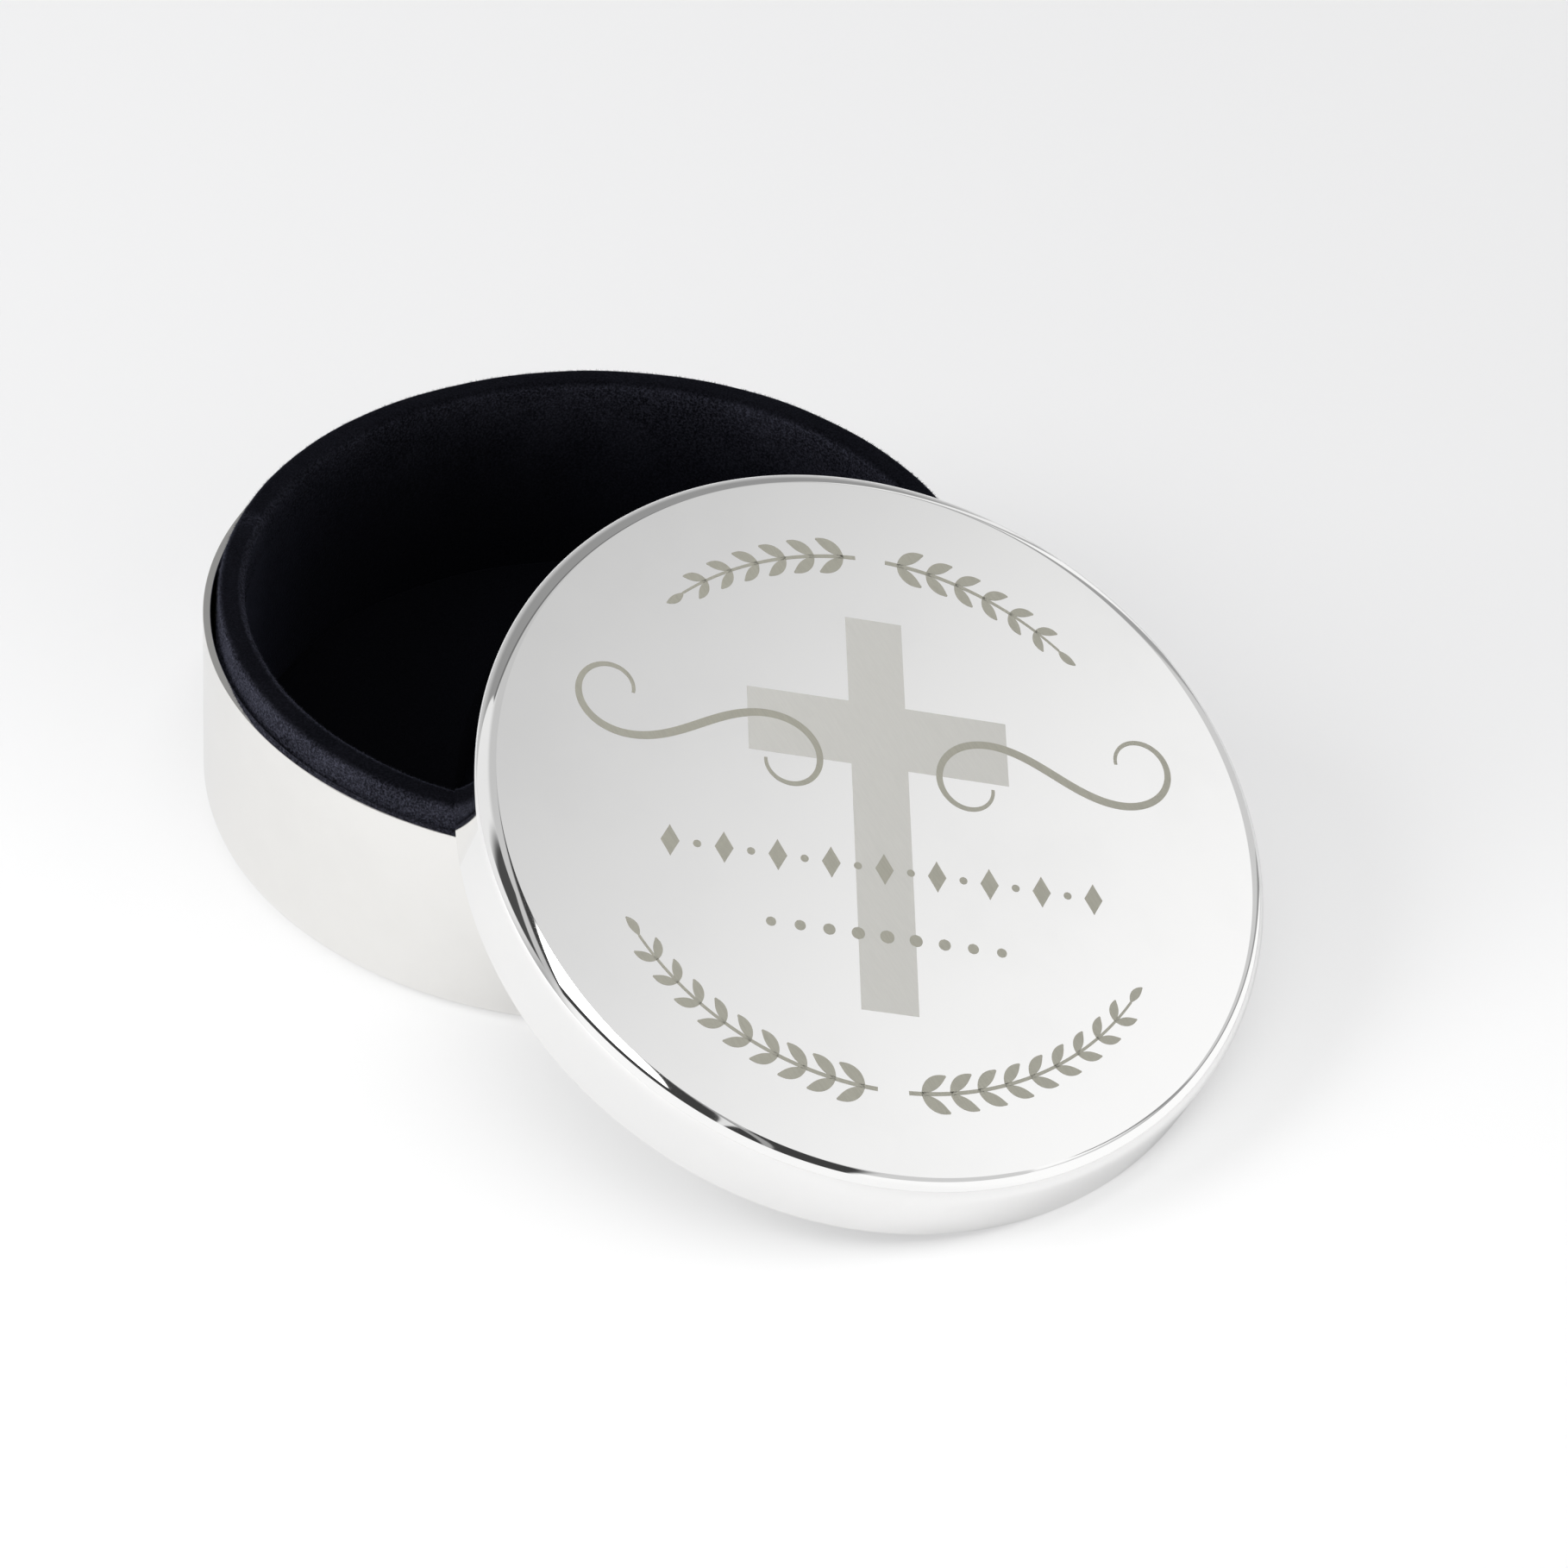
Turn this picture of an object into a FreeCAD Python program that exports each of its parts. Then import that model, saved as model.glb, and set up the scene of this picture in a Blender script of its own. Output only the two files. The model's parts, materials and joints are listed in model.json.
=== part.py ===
import FreeCAD, Part
import os
import Sketcher

# Round trinket box: a lined metal bowl, and its loose lid leaning on the bowl's padded collar.
# The bowl stands on the table, centred on the origin with +Z up, and the lid leans towards +X.
# Every piece is round, so each one is half an outline, drawn in the XZ plane and revolved about Z.
# The lid's pieces share one placement, which tilts them and seats them on the table and the collar.
# Sizes are millimetres and degrees.

DRIVING_SIZES = [
    ("outer_diameter", "90", "outside of the bowl and the lid"),
    ("metal_thickness", "0.9", "sheet of the bowl and the lid"),
    ("rim_height", "25.1", "table to the bowl's metal rim"),
    ("rim_round", "0.12", "rounding of the sheet's bare edges"),
    ("base_edge_radius", "4", "outside rounding under the bowl's wall"),
    ("collar_rise", "3.4", "top of the collar above the metal rim"),
    ("collar_gap", "0.65", "between the metal wall and the collar"),
    ("collar_width", "3.2", "across the collar, velvet to velvet"),
    ("collar_outer_round", "0.8", "rounding on the collar's outer side"),
    ("collar_inner_round", "0.9", "rounding on the collar's inner side"),
    ("velvet_thickness", "0.5", "velvet in the bowl, pile included"),
    ("velvet_tuck", "6", "velvet's outer edge below the metal rim"),
    ("tube_thickness", "1", "card tube in the lining"),
    ("padding_rise", "1.5", "padding over the card tube's upper edge"),
    ("fit_gap", "0.1", "clearance between glued or wrapped pieces"),
    ("floor_fit", "0.25", "clearance round the padded floor"),
    ("floor_card_thickness", "1", "card under the padded floor"),
    ("floor_pad_height", "2", "padding and velvet at the floor's edge"),
    ("floor_crown", "1", "rise of the padded floor at its middle"),
    ("lid_height", "9.5", "skirt's edge to the top of the shoulder"),
    ("lid_shoulder_radius", "2", "outside rounding above the lid's skirt"),
    ("lid_dome", "0.4", "rise of the lid's top at its middle"),
    ("lid_lining_fit", "0.4", "clearance round the lid's lining"),
    ("lid_card_thickness", "0.6", "card in the lid"),
    ("lid_velvet_thickness", "0.5", "velvet in the lid"),
    ("lean_angle", "25.2", "tilt of the leaning lid"),
    ("lean_gap", "0.29", "between the collar and the lid's lining"),
]

DERIVED_SIZES = [
    # Metal bowl
    ("outer_radius", "=outer_diameter / 2"),
    ("wall_inner_radius", "=outer_radius - metal_thickness"),
    ("base_flat_radius", "=outer_radius - base_edge_radius"),
    ("rim_round_height", "=rim_height - rim_round"),
    ("edge_outer_radius", "=outer_radius - rim_round"),
    ("edge_inner_radius", "=wall_inner_radius + rim_round"),
    # Velvet collar, from its outer face to its inner face
    ("collar_radius", "=wall_inner_radius - collar_gap"),
    ("collar_inner_radius", "=collar_radius - collar_width"),
    ("outer_crest_radius", "=collar_radius - collar_outer_round"),
    ("inner_crest_radius", "=collar_inner_radius + collar_inner_round"),
    ("collar_top", "=rim_height + collar_rise"),
    ("outer_round_height", "=collar_top - collar_outer_round"),
    ("inner_round_height", "=collar_top - collar_inner_round"),
    ("velvet_outer_back", "=collar_radius - velvet_thickness"),
    ("velvet_inner_back", "=collar_inner_radius + velvet_thickness"),
    ("velvet_crest_back", "=collar_top - velvet_thickness"),
    ("tuck_height", "=rim_height - velvet_tuck"),
    # Card tube and padding inside the velvet; the foot clears the bowl's inside rounding
    ("tube_outer_radius", "=velvet_outer_back - fit_gap"),
    ("tube_inner_radius", "=tube_outer_radius - tube_thickness"),
    ("padding_outer_radius", "=tube_inner_radius - fit_gap"),
    ("padding_inner_radius", "=velvet_inner_back + fit_gap"),
    ("padding_crest", "=velvet_crest_back - fit_gap"),
    ("padding_shelf", "=padding_crest - padding_rise"),
    ("tube_top", "=padding_shelf - fit_gap"),
    ("inside_round", "=base_edge_radius - metal_thickness"),
    ("foot_overhang", "=max(0; tube_outer_radius - base_flat_radius)"),
    ("foot_lift", "=inside_round - sqrt(inside_round ^ 2 - foot_overhang ^ 2)"),
    ("liner_foot", "=metal_thickness + foot_lift + fit_gap"),
    # Padded floor
    ("floor_radius", "=min(collar_inner_radius; base_flat_radius) - floor_fit"),
    ("floor_velvet_back", "=floor_radius - velvet_thickness"),
    ("floor_card_radius", "=floor_velvet_back - fit_gap"),
    ("floor_card_top", "=metal_thickness + floor_card_thickness"),
    ("floor_edge_height", "=floor_card_top + floor_pad_height"),
    ("floor_crown_height", "=floor_edge_height + floor_crown"),
    ("floor_back_edge", "=floor_edge_height - velvet_thickness"),
    ("floor_back_crown", "=floor_crown_height - velvet_thickness"),
    ("floor_padding_edge", "=floor_back_edge - fit_gap"),
    ("floor_padding_crown", "=floor_back_crown - fit_gap"),
    # Lid, measured up from its skirt's edge
    ("lid_shoulder_height", "=lid_height - lid_shoulder_radius"),
    ("lid_top_radius", "=outer_radius - lid_shoulder_radius"),
    ("lid_crown", "=lid_height + lid_dome"),
    ("lid_inner_height", "=lid_height - metal_thickness"),
    ("lid_inner_crown", "=lid_crown - metal_thickness"),
    ("lid_lining_radius", "=lid_top_radius - lid_lining_fit"),
    ("lid_card_top", "=lid_inner_height - fit_gap"),
    ("lid_card_face", "=lid_card_top - lid_card_thickness"),
    ("lid_lining_face", "=lid_card_face - lid_velvet_thickness"),
    # Leaning lid: its skirt stands on the table and its lining rests on the collar's outer rounding
    ("lean_sine", "=sin(lean_angle)"),
    ("lean_cosine", "=cos(lean_angle)"),
    ("lid_z", "=edge_outer_radius * lean_sine + rim_round * (1 - lean_cosine)"),
    ("collar_reach", "=outer_crest_radius * lean_sine + outer_round_height * lean_cosine + collar_outer_round"),
    ("lid_reach", "=collar_reach + lean_gap - lid_lining_face"),
    ("lid_x", "=(lid_reach - lid_z * lean_cosine) / lean_sine"),
]

ZERO = "zero"


def fill_sheet(document):
    """Write each size into its own row of the sheet, with its name as the alias."""
    sheet = document.addObject("Spreadsheet::Sheet", "sizes")
    rows = list(DRIVING_SIZES)
    for alias, formula in DERIVED_SIZES:
        rows.append((alias, formula, "derived"))
    for row, (alias, content, note) in enumerate(rows, start=1):
        sheet.set("A%d" % row, alias)
        sheet.set("B%d" % row, content)
        sheet.set("C%d" % row, note)
        sheet.setAlias("B%d" % row, alias)
    document.recompute()
    return sheet


def size_of(sheet, alias):
    """Return a size as a number; ZERO is the axis or the level that an outline starts from."""
    if alias == ZERO:
        return 0.0
    return float(sheet.get(alias))


def arc_between(start, end, centre_radius):
    """Return the short arc from start to end whose centre lies at the given distance from the axis."""
    start_reach = start.x - centre_radius
    end_reach = end.x - centre_radius
    squares = end_reach ** 2 - start_reach ** 2 + end.y ** 2 - start.y ** 2
    centre = FreeCAD.Vector(centre_radius, squares / (2 * (end.y - start.y)), 0)
    outward = (start + end) * 0.5 - centre
    middle = centre + outward.normalize() * start.distanceToPoint(centre)
    return Part.Arc(start, middle, end)


def bind(sketch, constraint, alias):
    """Add a constraint and tie it to a size in the sheet."""
    index = sketch.addConstraint(constraint)
    sketch.setExpression("Constraints[%d]" % index, "sizes.%s" % alias)


def hold_point(sketch, sheet, geometry, end, radius, height):
    """Hold one end of an edge at a radius and a height from the sheet."""
    if radius == ZERO:
        sketch.addConstraint(Sketcher.Constraint("PointOnObject", geometry, end, -2))
    else:
        value = size_of(sheet, radius)
        bind(sketch, Sketcher.Constraint("DistanceX", -1, 1, geometry, end, value), radius)
    if height == ZERO:
        sketch.addConstraint(Sketcher.Constraint("PointOnObject", geometry, end, -1))
    else:
        value = size_of(sheet, height)
        bind(sketch, Sketcher.Constraint("DistanceY", -1, 1, geometry, end, value), height)


def draw_outline(sketch, sheet, corners):
    """Draw a closed outline.

    A corner is (radius, height) or (radius, height, arc centre's radius), all names of sizes.
    The third name makes the edge that arrives at the corner an arc.
    """
    points = []
    for corner in corners:
        points.append(FreeCAD.Vector(size_of(sheet, corner[0]), size_of(sheet, corner[1]), 0))
    ends = []
    for index, corner in enumerate(corners):
        start = points[index - 1]
        end = points[index]
        if len(corner) == 3:
            edge = arc_between(start, end, size_of(sheet, corner[2]))
        else:
            edge = Part.LineSegment(start, end)
        geometry = sketch.addGeometry(edge, False)
        starts_first = sketch.getPoint(geometry, 1).distanceToPoint(start) < 1e-6
        ends.append((geometry, 1, 2) if starts_first else (geometry, 2, 1))
    for index, corner in enumerate(corners):
        geometry, start_end, finish_end = ends[index]
        earlier, _, earlier_finish = ends[index - 1]
        sketch.addConstraint(Sketcher.Constraint("Coincident", earlier, earlier_finish, geometry, start_end))
        hold_point(sketch, sheet, geometry, finish_end, corner[0], corner[1])
        if len(corner) < 3:
            continue
        if corner[2] == ZERO:
            sketch.addConstraint(Sketcher.Constraint("PointOnObject", geometry, 3, -2))
        else:
            value = size_of(sheet, corner[2])
            bind(sketch, Sketcher.Constraint("DistanceX", -1, 1, geometry, 3, value), corner[2])


def turned_piece(document, sheet, label, corners):
    """Make a body by revolving an outline about the upright axis."""
    body = document.addObject("PartDesign::Body", label)
    body.Label = label
    planes = [plane for plane in body.Origin.OriginFeatures if plane.Role == "XZ_Plane"]
    sketch = body.newObject("Sketcher::SketchObject", label + "_outline")
    sketch.AttachmentSupport = (planes[0], [""])
    sketch.MapMode = "FlatFace"
    document.recompute()
    draw_outline(sketch, sheet, corners)
    document.recompute()
    turn = body.newObject("PartDesign::Revolution", label + "_turn")
    turn.Profile = sketch
    turn.ReferenceAxis = (sketch, ["V_Axis"])
    turn.Angle = 360
    document.recompute()
    return body


def lean(body):
    """Tilt a lid piece about Y and seat it on the table and the collar."""
    body.Placement.Rotation = FreeCAD.Rotation(FreeCAD.Vector(0, 1, 0), 1)
    body.setExpression("Placement.Rotation.Angle", "sizes.lean_angle")
    body.setExpression("Placement.Base.x", "sizes.lid_x")
    body.setExpression("Placement.Base.z", "sizes.lid_z")
    return body


def make_bowl(document, sheet):
    """Metal bowl and the lining that stands in it."""
    yield turned_piece(document, sheet, "base_shell", [
        (ZERO, ZERO),
        ("base_flat_radius", ZERO),
        ("outer_radius", "base_edge_radius", "base_flat_radius"),
        ("outer_radius", "rim_round_height"),
        ("edge_outer_radius", "rim_height", "edge_outer_radius"),
        ("edge_inner_radius", "rim_height"),
        ("wall_inner_radius", "rim_round_height", "edge_inner_radius"),
        ("wall_inner_radius", "base_edge_radius"),
        ("base_flat_radius", "metal_thickness", "base_flat_radius"),
        (ZERO, "metal_thickness"),
    ])
    yield turned_piece(document, sheet, "liner_tube", [
        ("tube_inner_radius", "liner_foot"),
        ("tube_outer_radius", "liner_foot"),
        ("tube_outer_radius", "tube_top"),
        ("tube_inner_radius", "tube_top"),
    ])
    yield turned_piece(document, sheet, "liner_wadding", [
        ("padding_inner_radius", "liner_foot"),
        ("padding_outer_radius", "liner_foot"),
        ("padding_outer_radius", "padding_shelf"),
        ("tube_outer_radius", "padding_shelf"),
        ("tube_outer_radius", "outer_round_height"),
        ("outer_crest_radius", "padding_crest", "outer_crest_radius"),
        ("inner_crest_radius", "padding_crest"),
        ("padding_inner_radius", "inner_round_height", "inner_crest_radius"),
    ])
    yield turned_piece(document, sheet, "liner_velvet", [
        ("velvet_outer_back", "tuck_height"),
        ("collar_radius", "tuck_height"),
        ("collar_radius", "outer_round_height"),
        ("outer_crest_radius", "collar_top", "outer_crest_radius"),
        ("inner_crest_radius", "collar_top"),
        ("collar_inner_radius", "inner_round_height", "inner_crest_radius"),
        ("collar_inner_radius", "liner_foot"),
        ("velvet_inner_back", "liner_foot"),
        ("velvet_inner_back", "inner_round_height"),
        ("inner_crest_radius", "velvet_crest_back", "inner_crest_radius"),
        ("outer_crest_radius", "velvet_crest_back"),
        ("velvet_outer_back", "outer_round_height", "outer_crest_radius"),
    ])


def make_floor(document, sheet):
    """Padded floor: a card disc, its padding, and the velvet over both."""
    yield turned_piece(document, sheet, "floor_card", [
        (ZERO, "metal_thickness"),
        ("floor_card_radius", "metal_thickness"),
        ("floor_card_radius", "floor_card_top"),
        (ZERO, "floor_card_top"),
    ])
    yield turned_piece(document, sheet, "floor_wadding", [
        (ZERO, "floor_card_top"),
        ("floor_card_radius", "floor_card_top"),
        ("floor_card_radius", "floor_padding_edge"),
        (ZERO, "floor_padding_crown", ZERO),
    ])
    yield turned_piece(document, sheet, "floor_velvet", [
        ("floor_velvet_back", "metal_thickness"),
        ("floor_radius", "metal_thickness"),
        ("floor_radius", "floor_edge_height"),
        (ZERO, "floor_crown_height", ZERO),
        (ZERO, "floor_back_crown"),
        ("floor_velvet_back", "floor_back_edge", ZERO),
    ])


def make_lid(document, sheet):
    """Metal lid with its thin lining, leaning on the collar."""
    yield lean(turned_piece(document, sheet, "lid_shell", [
        ("edge_inner_radius", ZERO, "edge_inner_radius"),
        ("edge_outer_radius", ZERO),
        ("outer_radius", "rim_round", "edge_outer_radius"),
        ("outer_radius", "lid_shoulder_height"),
        ("lid_top_radius", "lid_height", "lid_top_radius"),
        (ZERO, "lid_crown", ZERO),
        (ZERO, "lid_inner_crown"),
        ("lid_top_radius", "lid_inner_height", ZERO),
        ("wall_inner_radius", "lid_shoulder_height", "lid_top_radius"),
        ("wall_inner_radius", "rim_round"),
    ]))
    yield lean(turned_piece(document, sheet, "lid_card", [
        (ZERO, "lid_card_face"),
        ("lid_lining_radius", "lid_card_face"),
        ("lid_lining_radius", "lid_card_top"),
        (ZERO, "lid_card_top"),
    ]))
    yield lean(turned_piece(document, sheet, "lid_velvet", [
        (ZERO, "lid_lining_face"),
        ("lid_lining_radius", "lid_lining_face"),
        ("lid_lining_radius", "lid_card_face"),
        (ZERO, "lid_card_face"),
    ]))


def check_and_write(document, bodies):
    """Stop on any failed feature, then write one STEP file for each piece."""
    for item in document.Objects:
        if "Invalid" in item.State or "Error" in item.State:
            raise RuntimeError("%s failed: %s" % (item.Label, item.State))
    os.makedirs("parts", exist_ok=True)
    for body in bodies:
        if body.Shape.isNull() or not body.Shape.isValid() or len(body.Shape.Solids) != 1:
            raise RuntimeError("%s is not one valid solid" % body.Label)
        body.Shape.exportStep("parts/%s.step" % body.Label)


def main():
    document = FreeCAD.newDocument("round_trinket_box")
    sheet = fill_sheet(document)
    bodies = []
    for make_group in (make_bowl, make_floor, make_lid):
        bodies.extend(make_group(document, sheet))
    document.recompute()
    check_and_write(document, bodies)


main()
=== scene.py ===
"""Looks of a round plated trinket box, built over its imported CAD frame.

The bowl and the lid are turned metal skins, the lining is padded velvet with a short nap,
and the lid's top carries an etched cross with plain scroll and leaf ornament.
"""

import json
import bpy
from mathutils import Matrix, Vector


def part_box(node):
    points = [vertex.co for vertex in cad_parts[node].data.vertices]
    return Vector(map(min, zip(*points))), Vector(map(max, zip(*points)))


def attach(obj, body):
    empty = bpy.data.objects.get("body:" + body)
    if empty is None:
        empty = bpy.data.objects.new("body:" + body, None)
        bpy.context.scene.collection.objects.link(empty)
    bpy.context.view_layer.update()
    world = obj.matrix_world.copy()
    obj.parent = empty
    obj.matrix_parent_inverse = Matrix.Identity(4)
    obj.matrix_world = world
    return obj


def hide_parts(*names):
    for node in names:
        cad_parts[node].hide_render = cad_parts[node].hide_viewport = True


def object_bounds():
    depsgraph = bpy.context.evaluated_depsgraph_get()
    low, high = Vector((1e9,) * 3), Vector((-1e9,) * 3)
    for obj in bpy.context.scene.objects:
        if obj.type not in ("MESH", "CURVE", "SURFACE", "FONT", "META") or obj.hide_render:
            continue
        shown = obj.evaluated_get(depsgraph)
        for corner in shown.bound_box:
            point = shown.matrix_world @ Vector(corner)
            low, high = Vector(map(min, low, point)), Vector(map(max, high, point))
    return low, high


bl_info = {
    "name": "Round trinket box",
    "version": (1, 0, 0),
    "blender": (4, 5, 0),
    "location": "3D View > Sidebar > Trinket box",
    "description": "Builds the metal, velvet and etching of a round trinket box over its CAD frame",
    "category": "Mesh",
}

import bpy
import numpy as np
from bpy.props import FloatProperty, FloatVectorProperty, IntProperty, PointerProperty
from mathutils import Matrix, Vector

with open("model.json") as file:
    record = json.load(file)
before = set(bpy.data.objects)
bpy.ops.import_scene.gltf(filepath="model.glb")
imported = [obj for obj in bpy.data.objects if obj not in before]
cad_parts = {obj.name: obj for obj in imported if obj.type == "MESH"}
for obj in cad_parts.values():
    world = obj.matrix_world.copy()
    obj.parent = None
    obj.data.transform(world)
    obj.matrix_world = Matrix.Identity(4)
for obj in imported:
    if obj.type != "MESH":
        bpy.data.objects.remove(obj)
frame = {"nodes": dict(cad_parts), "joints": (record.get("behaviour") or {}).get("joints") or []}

MM = 0.001
CAD_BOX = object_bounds()
TABLE_GAP = 0.02 * MM
SECTORS = 480
VELVET_SECTORS = 360
ARC_STEPS = 18
DOME_STEPS = 40


def node_top(node):
    """Highest corner of a CAD node at rest, in metres."""
    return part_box(node)[1]


def node_foot(node):
    """Lowest corner of a CAD node at rest, in metres."""
    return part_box(node)[0]


def length(name, description, default):
    """A length in metres with its words."""
    return FloatProperty(name=name, description=description, default=default, unit="LENGTH", precision=5)


def count_of(name, description, default):
    """A number of things with its words."""
    return IntProperty(name=name, description=description, default=default, min=0)


def angle(name, description, default):
    """An angle in radians with its words."""
    return FloatProperty(name=name, description=description, default=default, subtype="ANGLE")


def position(name, description, default):
    """A place in metres with its words."""
    return FloatVectorProperty(
        name=name, description=description, default=default, subtype="XYZ", unit="LENGTH"
    )


def colour(name, description, default):
    """A linear colour with its words."""
    return FloatVectorProperty(
        name=name, description=description, default=default, size=3, subtype="COLOR", min=0.0, max=1.0
    )


class BowlSizes(bpy.types.PropertyGroup):
    """Sizes of the metal bowl."""

    outer_radius: length("Outer radius", "Outside of the bowl's wall", node_top("base_shell").y)
    rim_height: length("Rim height", "Table to the metal rim", node_top("base_shell").z)
    metal: length("Metal", "Thickness of the sheet", 0.9 * MM)
    rim_round: length("Rim rounding", "Rounding of the sheet's bare edge", 0.12 * MM)
    edge_radius: length("Edge rounding", "Outside rounding under the wall", 4.0 * MM)


class LiningSizes(bpy.types.PropertyGroup):
    """Sizes of the padded velvet in the bowl."""

    collar_radius: length("Collar radius", "Outer face of the collar", node_top("liner_velvet").y)
    collar_top: length("Collar top", "Table to the collar's crest", node_top("liner_velvet").z)
    collar_foot: length("Lining foot", "Lower edge of the wall lining", node_foot("liner_velvet").z)
    collar_width: length("Collar width", "Across the collar, velvet to velvet", 3.2 * MM)
    outer_round: length("Outer rounding", "Rounding on the collar's outer side", 0.8 * MM)
    inner_round: length("Inner rounding", "Rounding on the collar's inner side", 0.9 * MM)
    velvet: length("Velvet", "Thickness of the velvet, pile included", 0.5 * MM)
    tuck: length("Tuck", "Velvet's outer edge below the rim", 6.0 * MM)
    ripple: length("Ripple", "Height of the slow waves in the padding", 0.06 * MM)
    settle: angle("Settle", "Slope of the collar, low at the front", 0.011)
    settle_turn: angle("Settle turn", "Way that the collar rises", np.radians(116.0))
    hump: length("Hump", "Extra height of the collar where it is highest", 0.5 * MM)
    join_turn: angle("Join turn", "Where the velvet's ends meet", np.radians(217.0))
    join_dip: length("Join dip", "How far the collar dips at the join", 0.3 * MM)
    join_reach: length("Join reach", "Run of the collar that dips at the join", 9.0 * MM)
    join_line: length("Join line", "Run of the crest whose pile the join opens", 1.2 * MM)
    press: length("Press", "How far the collar's outer face is pressed in", 0.36 * MM)
    press_turn: angle("Press turn", "Where the collar is pressed in most", np.radians(-110.0))
    press_reach: length("Press reach", "Run of the collar that is pressed in", 26.0 * MM)
    # These two turns aim the velvet's painted light: the painted highlight on the inner edge, and the painted
    # light on the outer face
    front_turn: angle("Front turn", "Where the inner edge's pile is most open", np.radians(-95.0))
    lit_turn: angle("Lay turn", "Where the outer face's pile is most open", np.radians(-150.0))
    pad_radius: length("Floor radius", "Outside of the padded floor", node_top("floor_velvet").y)
    pad_foot: length("Floor foot", "Level that the padded floor stands on", node_foot("floor_velvet").z)
    pad_top: length("Floor top", "Crown of the padded floor", node_top("floor_velvet").z)
    pad_crown: length("Floor crown", "Rise from the floor's edge to its crown", 1.0 * MM)
    pad_round: length("Floor rounding", "Rounding of the padded floor's edge", 1.1 * MM)
    nap_length: length("Nap length", "Length of the pile's hairs", 0.24 * MM)
    nap_girth: length("Nap girth", "Middle to the side of a hair at its foot", 0.025 * MM)
    nap_root: length("Nap root", "Depth of a hair's foot in the velvet", 0.05 * MM)
    nap_reach: length("Nap reach", "How far below the crest hairs stand", 5.0 * MM)
    nap_count: count_of("Nap count", "Hairs on the collar", 48000)


class WaddingSizes(bpy.types.PropertyGroup):
    """Sizes of the wadding under the velvet."""

    leg: length("Leg", "Thickness of the wadding behind the wall's velvet", 0.9 * MM)
    roll: length("Roll", "Rounding of the wadding's upper edges", 0.3 * MM)
    ripple: length("Ripple", "Height of the slow waves in the wadding", 0.03 * MM)
    inner_gap: length("Inner gap", "Room between the wadding and the wall's velvet", 0.15 * MM)
    shelf_gap: length("Shelf gap", "Room between the wadding and the tube's upper edge", 0.15 * MM)
    outer_gap: length("Outer gap", "Room at the collar's outer side", 0.1 * MM)
    top_gap: length("Top gap", "Room under the collar's crest", 0.1 * MM)
    pad_round: length("Floor rounding", "Rounding of the floor wadding's edge", 0.6 * MM)
    pad_edge_gap: length("Floor edge gap", "Room at the floor wadding's side", 0.05 * MM)
    pad_top_gap: length("Floor top gap", "Room above the floor wadding", 0.08 * MM)


class LidSizes(bpy.types.PropertyGroup):
    """Sizes of the lid, measured up from its skirt's edge."""

    outer_radius: length("Outer radius", "Outside of the skirt", node_top("lid_shell").y)
    metal: length("Metal", "Thickness of the sheet", 0.9 * MM)
    rim_round: length("Edge rounding", "Rounding of the skirt's bare edge", 0.12 * MM)
    height: length("Height", "Skirt's edge to the top of the shoulder", 9.5 * MM)
    shoulder: length("Shoulder", "Outside rounding above the skirt", 2.0 * MM)
    dome: length("Dome", "Rise of the top at its middle", 0.4 * MM)
    lining_radius: length("Lining radius", "Outside of the lid's velvet", node_top("lid_velvet").y)
    lining_face: length("Lining face", "Level of the velvet's face", 7.4 * MM)
    lining: length("Lining", "Thickness of the lid's velvet", 0.5 * MM)


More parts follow.
